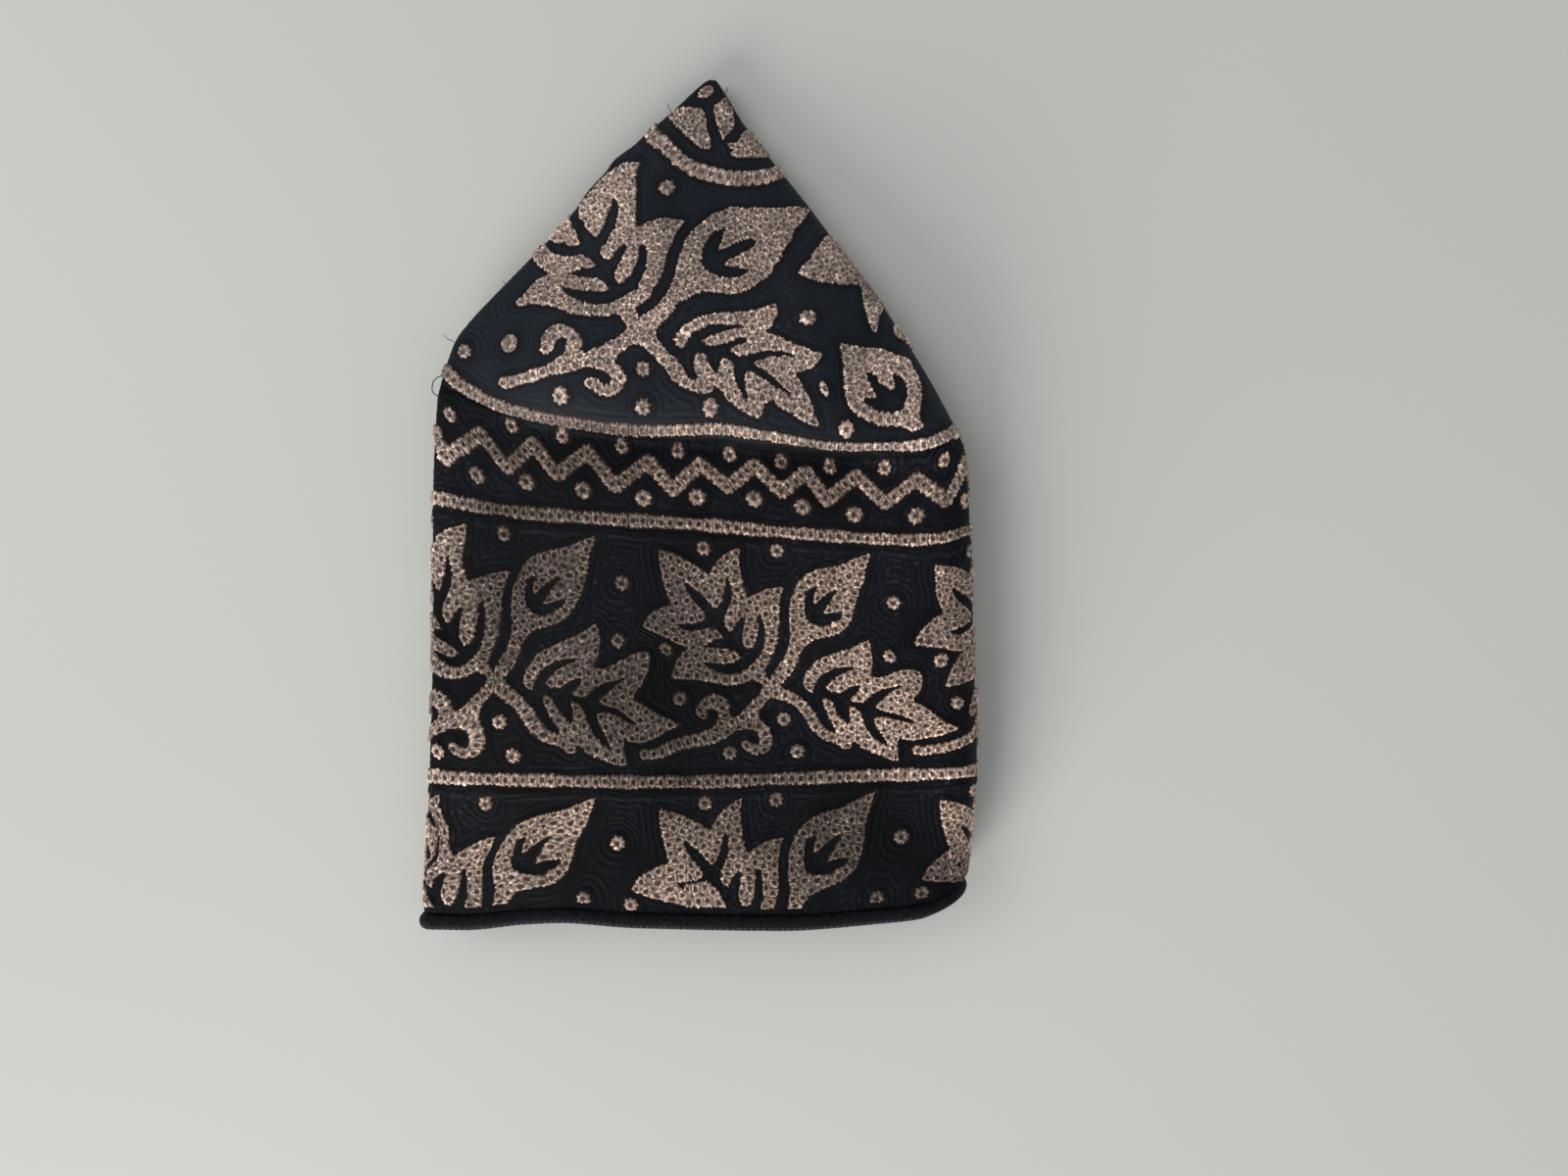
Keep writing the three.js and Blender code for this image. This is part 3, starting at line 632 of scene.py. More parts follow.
def cloth(v, t, layer, height):
    """Points at a height above the cloth's middle surface, on its outer side."""
    v, t, height = np.broadcast_arrays(np.asarray(v, float), np.asarray(t, float), np.asarray(height, float))
    row = np.maximum(v, TIP_ROW)

    def at(dv, dt):
        vv = np.clip(row + dv, TIP_ROW, HEM_END)
        return middle(*on_layer(vv, t + dt, layer), vv)

    step = 0.35 / widths(row)[0]
    side = 1 if layer == 1 else -1
    along = (at(0, step) - at(0, -step)) * side
    down = at(0.5, 0) - at(-0.5, 0)
    points = taper(at(0, 0) + unit(np.cross(down, along)) * height[..., None], v)
    points[..., 2] = np.maximum(points[..., 2], FLOOR_GAP)
    return points


def band_cloth(u, v, height):
    """The same for the side band, by the cloth coordinate u that runs on round the outer fold."""
    u, v, height = np.broadcast_arrays(u, v, height)
    left, across = band_span(v)
    w, _, fold_at, arc = widths(v)
    t = (u - left) / across
    turn = fold_at + arc / w
    top = cloth(v, t, 1, height)
    under = cloth(v, fold_at - (t - turn), 2, height)
    return np.where((t <= turn)[..., None], top, under)


def from_picture(points):
    """Cloth plan coordinates of chart points on the upper layer, unrolled where it turns at the folds.

    Each round looks from the camera at the height that the last one found, and takes off what the
    swell and the folds move sideways."""
    px, py = points[:, 0] - PICTURE_CENTRE[0], PICTURE_CENTRE[1] - points[:, 1]
    z = np.full(len(px), FIRST_HEIGHT)
    dx, dy = np.zeros(len(px)), np.zeros(len(px))
    for _ in range(CHART_ROUNDS):
        k = (CAMERA[2] - z) / PIXELS_PER_RADIAN
        x, y = CAMERA[0] + px * k - dx, CAMERA[1] + py * k - dy
        v, t = unplan(x, y)
        row = np.maximum(v, TIP_ROW)
        w, fold, fold_at, arc = widths(row)
        reach = left_reach(row, 1)
        start = reach / w
        outer, inner = fold + WALL_HALF, reach + WALL_HALF
        past = (t - fold_at) * w
        lean = np.arcsin(np.clip(past / outer, 0, OUTER_SIGHT))
        right = fold_at + (lean * arc / math.pi + np.maximum(past - OUTER_SIGHT * outer, 0)) / w
        past = (start - t) * w
        lean = np.arcsin(np.clip(past / inner, 0, LEFT_SIGHT))
        left = start - (lean * inner + np.maximum(past - LEFT_SIGHT * inner, 0)) / w
        flat = np.where(t > fold_at, right, np.where(t < start, left, t))
        p = cloth(v, np.clip(flat, start - 0.3 * reach / w, fold_at + 0.4 * arc / w), 1, WALL_HALF)
        z = p[:, 2]
        beside, ahead = plan(v, np.clip(t, 0, 1))
        dy += EASING * (np.clip(p[:, 1] - ahead, -4, 4) - dy)
        level_part = (t > start) & (t < fold_at)
        dx += EASING * (np.where(level_part, np.clip(p[:, 0] - beside, -1.5, 1.5), 0) - dx)
    return np.stack(plan(v, flat), -1), v, flat


def rounded(points, corner=48, cut=4):
    """A closed outline through points, smooth except at sharp corners."""
    n = len(points)
    before = points - np.roll(points, 1, 0)
    after = np.roll(points, -1, 0) - points
    turn = np.abs((np.arctan2(after[:, 1], after[:, 0]) - np.arctan2(before[:, 1], before[:, 0]) + math.pi)
                  % (2 * math.pi) - math.pi)
    sharp = turn > math.radians(corner)
    la, lb = np.linalg.norm(before, axis=1)[:, None], np.linalg.norm(after, axis=1)[:, None]
    tangent = (before / la * lb + after / lb * la) / (la + lb)
    out = []
    for i in range(n):
        j = (i + 1) % n
        d = points[j] - points[i]
        length = np.linalg.norm(d)
        m0 = d if sharp[i] else tangent[i] * length
        m1 = d if sharp[j] else tangent[j] * length
        for s in np.arange(cut) / cut:
            s2, s3 = s * s, s * s * s
            out.append(points[i] * (2 * s3 - 3 * s2 + 1) + m0 * (s3 - 2 * s2 + s)
                       + points[j] * (3 * s2 - 2 * s3) + m1 * (s3 - s2))
    return np.array(out)


class Field:
    """Signed distance to the embroidery on a grid, positive inside, in millimetres.

    Distances are kept up to the field's reach. A field with a period repeats in x."""

    def __init__(self, lo, hi, step, reach, period=None):
        self.lo, self.step, self.reach, self.period = np.array(lo, float), step, reach, period
        self.nx = int(round((hi[0] - lo[0]) / step)) + 1
        self.ny = int(round((hi[1] - lo[1]) / step)) + 1
        self.xs = lo[0] + np.arange(self.nx) * step
        self.ys = lo[1] + np.arange(self.ny) * step
        self.d = np.full((self.ny, self.nx), -reach)

    def window(self, lo, hi):
        """Grid ranges that cover a box."""
        i0 = max(int((lo[0] - self.lo[0]) / self.step), 0)
        i1 = min(int((hi[0] - self.lo[0]) / self.step) + 2, self.nx)
        j0 = max(int((lo[1] - self.lo[1]) / self.step), 0)
        j1 = min(int((hi[1] - self.lo[1]) / self.step) + 2, self.ny)
        return i0, i1, j0, j1

    def away(self, line, closed=True):
        """Distance to a line at each grid point."""
        far = np.full(self.d.shape, self.reach)
        ends = np.roll(line, -1, 0) if closed else line[1:]
        for a, b in zip(line, ends):
            lo, hi = np.minimum(a, b) - self.reach, np.maximum(a, b) + self.reach
            i0, i1, j0, j1 = self.window(lo, hi)
            if i0 >= i1 or j0 >= j1:
                continue
            d = b - a
            n2 = max(d @ d, 1e-12)
            x = self.xs[None, i0:i1] - a[0]
            y = self.ys[j0:j1, None] - a[1]
            s = np.clip((x * d[0] + y * d[1]) / n2, 0, 1)
            part = far[j0:j1, i0:i1]
            np.minimum(part, np.hypot(x - s * d[0], y - s * d[1]), out=part)
        return far

    def inside(self, line):
        """Which grid points a closed line goes round."""
        flip = np.zeros((self.ny, self.nx + 1), np.int32)
        for a, b in zip(line, np.roll(line, -1, 0)):
            if a[1] == b[1]:
                continue
            lo, hi = (a, b) if a[1] < b[1] else (b, a)
            j0 = max(int(math.ceil((lo[1] - self.lo[1]) / self.step)), 0)
            j1 = min(int(math.ceil((hi[1] - self.lo[1]) / self.step)), self.ny)
            if j0 >= j1:
                continue
            x = lo[0] + (self.ys[j0:j1] - lo[1]) / (hi[1] - lo[1]) * (hi[0] - lo[0])
            i = np.clip(np.ceil((x - self.lo[0]) / self.step).astype(int), 0, self.nx)
            np.add.at(flip, (np.arange(j0, j1), i), 1)
        return (np.cumsum(flip[:, :-1], 1) % 2).astype(bool)

    def shape(self, outline, holes=()):
        """Signed distance to an outline with holes."""
        sd = self.away(outline)
        sd = np.where(self.inside(outline), sd, -sd)
        for hole in holes:
            hd = self.away(hole)
            sd = np.minimum(sd, np.where(self.inside(hole), -hd, hd))
        return sd

    def add(self, sd):
        """Joins a shape's signed distance to the field."""
        np.maximum(self.d, sd, out=self.d)

    def add_line(self, line, half):
        """Adds a band of a half width along an open line."""
        self.add(np.clip(half - self.away(line, False), -self.reach, None))

    def wraps(self):
        """Shifts in x at which the field's content shows again."""
        return (-self.period, 0, self.period) if self.period else (0,)

    def dot(self, centre, radius):
        """Adds a round dot."""
        self.add(np.clip(radius - np.hypot(self.xs[None] - centre[0], self.ys[:, None] - centre[1]),
                         -self.reach, None))

    def at(self, x, y, grid=None):
        """Values at places, of the field itself or of another grid over it."""
        if self.period:
            x = (x - self.lo[0]) % self.period + self.lo[0]
        column = np.clip((x - self.lo[0]) / self.step, 0, self.nx - 1.001)
        row = np.clip((y - self.lo[1]) / self.step, 0, self.ny - 1.001)
        return between(self.d if grid is None else grid, column, row)


def spread(field, area, pitch, rng):
    """Eyelet centres packed over an area of a field, row by row from its outline inwards.

    Each row starts at a free place near the outline. The centre with the least depth is taken first,
    and its neighbours a pitch away wait in a heap. What gaps are left are filled at the end."""
    taken = []
    buckets = {}

    def near(x, y, d):
        ci, cj = int(math.floor(x / pitch)), int(math.floor(y / pitch))
        for i in (ci - 1, ci, ci + 1):
            for j in (cj - 1, cj, cj + 1):
                for px, py in buckets.get((i, j), ()):
                    if (px - x) ** 2 + (py - y) ** 2 < d * d:
                        return True
        return False

    def put(x, y):
        taken.append((x, y))
        for shift in field.wraps():
            cell = int(math.floor((x + shift) / pitch)), int(math.floor(y / pitch))
            buckets.setdefault(cell, []).append((x + shift, y))

    def depth(x, y):
        return float(field.at(np.array(x), np.array(y), area))

    lo_x = field.lo[0]
    hi_x = lo_x + field.period if field.period else field.xs[-1]
    jj, ii = np.nonzero(area > EYELET_INSET)
    order = np.argsort(area[jj, ii] + rng.random(len(jj)) * 0.02)
    for n in order:
        sx, sy = field.xs[ii[n]], field.ys[jj[n]]
        if not lo_x <= sx < hi_x or near(sx, sy, pitch):
            continue
        heap = [(0.0, sx, sy)]
        while heap:
            _, x, y = heapq.heappop(heap)
            if near(x, y, pitch * LEAST_PITCH) or not lo_x <= x < hi_x:
                continue
            put(x, y)
            base = rng.random() * math.pi / 9
            for k in range(18):
                angle = base + k * math.pi / 9
                nx = x + pitch * NEXT_PITCH * math.cos(angle)
                ny = y + pitch * NEXT_PITCH * math.sin(angle)
                deep = depth(nx, ny)
                if deep > EYELET_INSET and not near(nx, ny, pitch * LEAST_PITCH):
                    heapq.heappush(heap, (deep, nx, ny))
    jj, ii = np.nonzero(area > GAP_INSET)
    order = np.argsort(-area[jj, ii])
    for n in order:
        x, y = field.xs[ii[n]], field.ys[jj[n]]
        if lo_x <= x < hi_x and not near(x, y, pitch * GAP_PITCH):
            put(x, y)
    return np.array(taken)


def relax(field, area, seeds):
    """Moves centres towards the middles of the cloth nearest to them."""
    step = field.step
    jj, ii = np.nonzero(area > 0)
    px, py = field.xs[ii], field.ys[jj]
    for _ in range(RELAX_ROUNDS):
        best = np.full((field.ny, field.nx), 1e9)
        owner = np.full((field.ny, field.nx), -1)
        r = int(RELAX_REACH / step)
        for n, (x, y) in enumerate(seeds):
            for shift in field.wraps():
                ci = int(round((x + shift - field.lo[0]) / step))
                cj = int(round((y - field.lo[1]) / step))
                i0, i1 = max(ci - r, 0), min(ci + r + 1, field.nx)
                j0, j1 = max(cj - r, 0), min(cj + r + 1, field.ny)
                if i0 >= i1 or j0 >= j1:
                    continue
                d = (field.xs[None, i0:i1] - x - shift) ** 2 + (field.ys[j0:j1, None] - y) ** 2
                part = best[j0:j1, i0:i1]
                closer = d < part
                part[closer] = d[closer]
                owner[j0:j1, i0:i1][closer] = n
        own = owner[jj, ii]
        ok = own >= 0
        n = len(seeds)
        dx = px[ok] - seeds[own[ok], 0]
        if field.period:
            dx = (dx + field.period / 2) % field.period - field.period / 2
        dy = py[ok] - seeds[own[ok], 1]
        count = np.maximum(np.bincount(own[ok], minlength=n), 1)
        move = np.stack([np.bincount(own[ok], dx, n) / count, np.bincount(own[ok], dy, n) / count], -1)
        seeds = seeds + move * RELAX_SHARE
        if field.period:
            seeds[:, 0] = (seeds[:, 0] - field.lo[0]) % field.period + field.lo[0]
    return seeds


def fill(field, area, rng):
    """Centres of the eyelets that fill an area of a field, a little uneven as handwork is."""
    seeds = relax(field, area, spread(field, area, EYELET_PITCH * 0.95, rng))
    return seeds + rng.normal(0, EYELET_WANDER, seeds.shape)


def outlines(field, seeds, rng):
    """How far each eyelet reaches along each spoke, up to its neighbours and the motif's edge, which
    spokes end at the edge, and the spokes' directions."""
    n = len(seeds)
    angle = rng.uniform(0, 2 * math.pi, n)[:, None] + np.arange(SPOKES) * 2 * math.pi / SPOKES
    ex, ey = np.cos(angle), np.sin(angle)
    others = seeds
    if field.period:
        others = np.concatenate([seeds + [s, 0] for s in (0, -field.period, field.period)])
    reach = np.full((n, SPOKES), EYELET_REACH)
    neighbours, batch = 9, 400
    for i in range(0, n, batch):
        part = slice(i, i + batch)
        d = others[None] - seeds[part, None]
        dist = np.hypot(d[..., 0], d[..., 1])
        dist[dist < 1e-6] = 1e9
        near = np.argpartition(dist, neighbours, axis=1)[:, :neighbours]
        d = np.take_along_axis(d, near[..., None], 1)
        half = (d**2).sum(-1) / 2
        along = d[:, :, 0, None] * ex[part, None] + d[:, :, 1, None] * ey[part, None]
        limit = np.where(along > 1e-3, half[..., None] / np.maximum(along, 1e-3), 1e9).min(1)
        reach[part] = np.minimum(reach[part], limit)
    edge = np.full((n, SPOKES), 1e9)
    step = 0.15
    last = field.at(seeds[:, :1] + ex * step, seeds[:, 1:] + ey * step)
    for r in np.arange(0.3, EYELET_REACH + 0.16, step):
        here = field.at(seeds[:, :1] + ex * r, seeds[:, 1:] + ey * r)
        cross = (here <= 0) & (edge > 1e8)
        edge = np.where(cross, r - step * np.clip(here / np.minimum(here - last, -1e-6), 0, 1), edge)
        last = here
    bordered = edge < reach
    return np.minimum(reach, np.maximum(edge, LEAST_REACH)), bordered, ex, ey


def add_object(name, data):
    """A new object in the scene."""
    thing = bpy.data.objects.new(name, data)
    bpy.context.scene.collection.objects.link(thing)
    return thing


def make_mesh(name, points, faces, uv=None, values=None):
    """A mesh of quads and triangles from arrays; points in the CAD's millimetres."""
    mesh = bpy.data.meshes.new(name)
    mesh.vertices.add(len(points))
    mesh.vertices.foreach_set("co", ((points + ROW_SHIFT) * 0.001).astype(np.float32).ravel())
    sizes = [f.shape[1] for f in faces]
    counts = [len(f) for f in faces]
    loops = np.concatenate([f.ravel() for f in faces])
    mesh.loops.add(len(loops))
    mesh.loops.foreach_set("vertex_index", loops.astype(np.int32))
    total = np.repeat(sizes, counts)
    start = np.concatenate([[0], np.cumsum(total)[:-1]])
    mesh.polygons.add(len(total))
    mesh.polygons.foreach_set("loop_start", start.astype(np.int32))
    mesh.polygons.foreach_set("loop_total", total.astype(np.int32))
    mesh.polygons.foreach_set("use_smooth", np.ones(len(total), bool))
    if uv is not None:
        layer = mesh.uv_layers.new(name="cloth")
        layer.data.foreach_set("uv", uv.astype(np.float32).ravel())
    for key, value in (values or {}).items():
        attribute = mesh.attributes.new(key, "FLOAT", "POINT")
        attribute.data.foreach_set("value", value.astype(np.float32))
    mesh.update()
    mesh.validate()
    return add_object(name, mesh)


# Where the CAD model's centring put the crown's tip gives the shift from these millimetres to its frame.
cad_crown = np.array([c.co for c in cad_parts["crown"].data.vertices], float)
ROW_SHIFT = cad_crown[np.argmax(cad_crown[:, 1])] * 1000 - TIP_POINT
rng = np.random.default_rng(7)


def to_band(points):
    """Chart points as cloth coordinates of the side band."""
    _, v, t = from_picture(points)
    left, across = band_span(v)
    return np.stack([left + across * t, v], -1)


def stripe_half(u, v):
    """Half the width of a worked stripe, uneven along its length as handwork is."""
    turn = 2 * math.pi * u / REPEAT
    return STRIPE_HALF + 0.14 * np.sin(3 * turn + v) + 0.1 * np.sin(7 * turn + 2 * v)


# One repeat of the side band: the branch in two rows, its dots, and the stripes between them.
crossing = to_band(BAND_CROSSING)[0]
tile = Field((crossing[0] - REPEAT / 2, BAND_FIELD_ROWS[0]), (crossing[0] + REPEAT / 2, BAND_FIELD_ROWS[1]),
             FIELD_STEP, FIELD_REACH, REPEAT)
branch = [
    (rounded(to_band(BAND_LEAF)), [rounded(to_band(BAND_LEAF_VEIN))]),
    (rounded(to_band(BAND_DROP)), [rounded(to_band(BAND_DROP_VEIN))]),
    (rounded(to_band(BAND_SPRAY)), []),
    (rounded(to_band(BAND_TENDRIL)), []),
]
leaf_end = rounded(to_band(LOWER_LEAF_END))
ROW_STEP = STRIPE_3 - STRIPE_2
for row in (0, 1):
    for column in (-1, 0, 1):
        move = np.array([column * REPEAT, row * ROW_STEP])
        for outline, veins in branch[:2] if row else branch:
            tile.add(tile.shape(outline + move, [vein + move for vein in veins]))
        if row:
            tile.add(tile.shape(leaf_end + [column * REPEAT, 0]))
tile.d += BAND_SWELL
leaf_area = tile.d.copy()
leaf_area[tile.ys > HEM_TOP - HEM_LEAF_MARGIN] = -1
tile_seeds = fill(tile, leaf_area, rng)
first_row = to_band(BAND_DOTS)
band_dots = []
for dots in (first_row, first_row + [0, ROW_STEP], to_band(LOWER_DOTS)):
    for x, y in dots:
        x = (x - tile.lo[0]) % REPEAT + tile.lo[0]
        if y < HEM_TOP - HEM_DOT_MARGIN:
            band_dots.append((x, y))
            for shift in tile.wraps():
                tile.dot((x + shift, y), BAND_DOT_RADIUS)
for v in (STRIPE_2, STRIPE_3):
    tile.add(stripe_half(tile.xs[None], v) - np.abs(tile.ys[:, None] - v))
tile.d = np.minimum(tile.d, HEM_TOP - HEM_MARGIN - tile.ys[:, None])
count = int(round(REPEAT / STRIPE_PITCH))
stripe_seeds = np.array([(tile.lo[0] + (n + 0.5) * REPEAT / count, v) for v in (STRIPE_2, STRIPE_3)
                         for n in range(count)])
stripe_seeds += rng.normal(0, 1, stripe_seeds.shape) * STRIPE_WANDER
tile_all = np.concatenate([tile_seeds, np.array(band_dots), stripe_seeds])
even, moved_to = to_band(HAND_SHIFTS[0::2]), to_band(HAND_SHIFTS[1::2])


def hand_shift(u, v):
    """How far handwork moves a place of the even repeat, fading out at the stripes."""
    shape = np.shape(u)
    u, v = np.ravel(u), np.ravel(v)
    far = (u[:, None] - even[:, 0]) ** 2 + (v[:, None] - even[:, 1]) ** 2
    weight = np.exp(-far / (HAND_REACH**2 / 2))
    share = weight / (weight.sum(1, keepdims=True) + HAND_HOLD)
    keep = smooth(*HAND_FADE, np.abs(v - STRIPE_2)) * smooth(*HAND_FADE, np.abs(v - STRIPE_3))
    keep *= v > STRIPE_2
    move = (share @ (moved_to - even)) * keep[:, None]
    return move[:, 0].reshape(shape), move[:, 1].reshape(shape)


def by_hand(u, v):
    """Where handwork puts a place of the even repeat."""
    du, dv = hand_shift(u, v)
    return u + du, v + dv


def from_hand(u, v):
    """The place in the even repeat that handwork moves to u and v, found in rounds."""
    a, b = u, v
    for _ in range(HAND_ROUNDS):
        du, dv = hand_shift(a, b)
        a, b = u - du, v - dv
    return a, b


def worked_band(u, v, height):
    """Points over the side band for places of the even repeat."""
    return band_cloth(*by_hand(u, v), height)


def along_line(line, pitch):
    """Centres at an even pitch along a line."""
    length = np.concatenate([[0], np.cumsum(np.linalg.norm(np.diff(line, axis=0), axis=1))])
    marks = np.arange(pitch / 2, length[-1], pitch)
    return np.stack([np.interp(marks, length, line[:, 0]), np.interp(marks, length, line[:, 1])], -1)


# The zigzag row between the crown's rim and the second stripe, all round. Its field runs over the cloth
# coordinate u and the drop, how far below the seam a row shows from above, because the cloth is steep
# under the rim.
TABLE_SHARES = np.linspace(0.0, 1.0, 41)
TABLE_ROWS = np.linspace(CROWN_SLANT + 0.2, 140.0, 180)
TABLE_DROPS = np.linspace(-3.0, 30.0, 180)


def drop_tables():
    """Drop by row and share, and row by drop and share."""
    v, t = np.meshgrid(TABLE_ROWS, TABLE_SHARES, indexing="ij")
    drop = -cloth(v, np.clip(t, 0.03, 0.94), 1, WALL_HALF)[..., 1]
    drop = np.maximum.accumulate(drop - drop[:1] + 1e-4 * np.arange(len(drop))[:, None], axis=0)
    back = [np.interp(TABLE_DROPS, drop[:, n], TABLE_ROWS) for n in range(len(TABLE_SHARES))]
    return drop, np.stack(back, -1)


DROP_TABLE, ROW_TABLE = drop_tables()


def look_up(table, axis, value, u):
    """Value of a table over its axis and the share of the folded width at u."""
    left, across = band_span(STRIPE_2)
    share = np.clip((u - left) / across, 0, 0.999)
    place = np.clip((value - axis[0]) / (axis[1] - axis[0]), 0, len(axis) - 1.001)
    return between(table.T, place, share * (len(TABLE_SHARES) - 1))


def drop_of(v, u):
    """The drop of row v at u."""
    return look_up(DROP_TABLE, TABLE_ROWS, v, u)


def row_at(drop, u):
    """The row with a drop at u."""
    return look_up(ROW_TABLE, TABLE_DROPS, drop, u)


def to_row(points):
    """Chart points as the cloth coordinate and the drop."""
    band = to_band(points)
    return np.stack([band[:, 0], drop_of(band[:, 1], band[:, 0])], -1)


def zigzag_cloth(u, drop, height):
    """Points over the side band for places of the zigzag's field."""
    return band_cloth(u, row_at(drop, u), height)


corners = to_row(ZIGZAG_CORNERS)
upper_dots, lower_dots = to_row(ZIGZAG_UPPER_DOTS), to_row(ZIGZAG_LOWER_DOTS)
peak_drop, valley_drop = corners[0::2, 1].mean(), corners[1::2, 1].mean()
half_period = ZIGZAG_PERIOD / 2
before = [(corners[0, 0] - n * half_period, valley_drop if n % 2 else peak_drop)
          for n in range(CORNERS_BEFORE, 0, -1)]
after = [(corners[-1, 0] + n * half_period, valley_drop if n % 2 else peak_drop)
         for n in range(1, CORNERS_AFTER + 1)]
corners = np.concatenate([before, corners, after])
for n, (x, _) in enumerate(after):
    if n % 2:
        lower_dots = np.concatenate([lower_dots, [(x, peak_drop + ZIGZAG_DOT_DROP)]])
    else:
        upper_dots = np.concatenate([upper_dots, [(x, valley_drop - ZIGZAG_DOT_DROP)]])
zigzag = Field(*ZIGZAG_FIELD, ZIGZAG_STEP, FIELD_REACH)
zigzag.add_line(corners, ZIGZAG_HALF)
zigzag_seeds = along_line(corners, STRIPE_PITCH)
zigzag_seeds += rng.normal(0, ZIGZAG_WANDER, zigzag_seeds.shape)
upper_dots[:, 1] = np.maximum(upper_dots[:, 1], UPPER_DOT_RADIUS * 0.92)
zigzag_dots = np.concatenate([upper_dots, lower_dots])
for dots, radius in ((upper_dots, UPPER_DOT_RADIUS), (lower_dots, LOWER_DOT_RADIUS)):
    for dot in dots:
        zigzag.dot(dot, radius)
zigzag_all = np.concatenate([zigzag_seeds, zigzag_dots])
stripe_2_drop = drop_of(np.full(zigzag.nx, STRIPE_2), zigzag.xs)
stripe_2_sides = stripe_half(zigzag.xs, STRIPE_2) - np.abs(zigzag.ys[:, None] - stripe_2_drop)
zigzag.add(np.clip(stripe_2_sides, -zigzag.reach, None))


def crown_share():
    """Share of the folded width at each point of the crown's field."""
    x, y = np.meshgrid(crown.xs, crown.ys)
    return unplan(x.ravel(), y.ravel())[1].reshape(x.shape)


# The crown, in plan coordinates that run on round the folds.
crown = Field(*CROWN_FIELD, FIELD_STEP, FIELD_REACH)
crown_shapes = [
    (CROWN_BRANCH, [CROWN_DROP_VEIN]), (CROWN_LOBE, []), (CROWN_RIGHT_LEAF, []), (CROWN_SLIVER, []),
    (CROWN_DROP, [CROWN_DROP_2_VEIN]), *[(leaf, []) for leaf in TIP_LEAVES],
]
for outline, veins in crown_shapes:
    crown.add(crown.shape(rounded(from_picture(outline)[0]), [rounded(from_picture(v)[0]) for v in veins]))
crown.d += CROWN_SWELL
crown_seeds = fill(crown, crown.d, rng)
crown.add(crown.shape(rounded(from_picture(TIP_RING)[0])))
ring_seeds = along_line(from_picture(TIP_RING_MIDDLE)[0], STRIPE_PITCH)
crown.add(crown.shape(rounded(from_picture(CROWN_OVAL)[0])))
crown_dots = from_picture(CROWN_DOTS)[0]
for centre, radius in zip(crown_dots, CROWN_DOT_RADII):
    crown.dot(centre, radius)
run = np.linspace(*RIM_SPAN, 600)
rim = np.stack(plan(curve(RIM_ROW)(run), run), -1)
rim_half = curve(RIM_HALF)(crown_share())
crown.add_line(rim, rim_half)
rim_seeds = along_line(rim, STRIPE_PITCH)
crown_all = np.concatenate([crown_seeds, ring_seeds, crown_dots, rim_seeds])
# Painted shade on the rim stripe's eyelets, where the rim curls under the swell.
crown_painted_shading = np.zeros((len(crown_all), 1))
crown_painted_shading[-len(rim_seeds):, 0] = curve(RIM_PAINTED_SHADE)(np.clip(unplan(*rim_seeds.T)[1], 0, 1))
# Painted light: the crown's eyelets round the pool's middle get lower dimming, so their thread is lighter.
from_painted_light = np.linalg.norm(crown_all - from_picture(PAINTED_LIGHT_PLACE)[0], axis=1) / PAINTED_LIGHT_REACH
crown_painted_shading -= PAINTED_LIGHT * np.exp(-from_painted_light[:, None] ** 2)


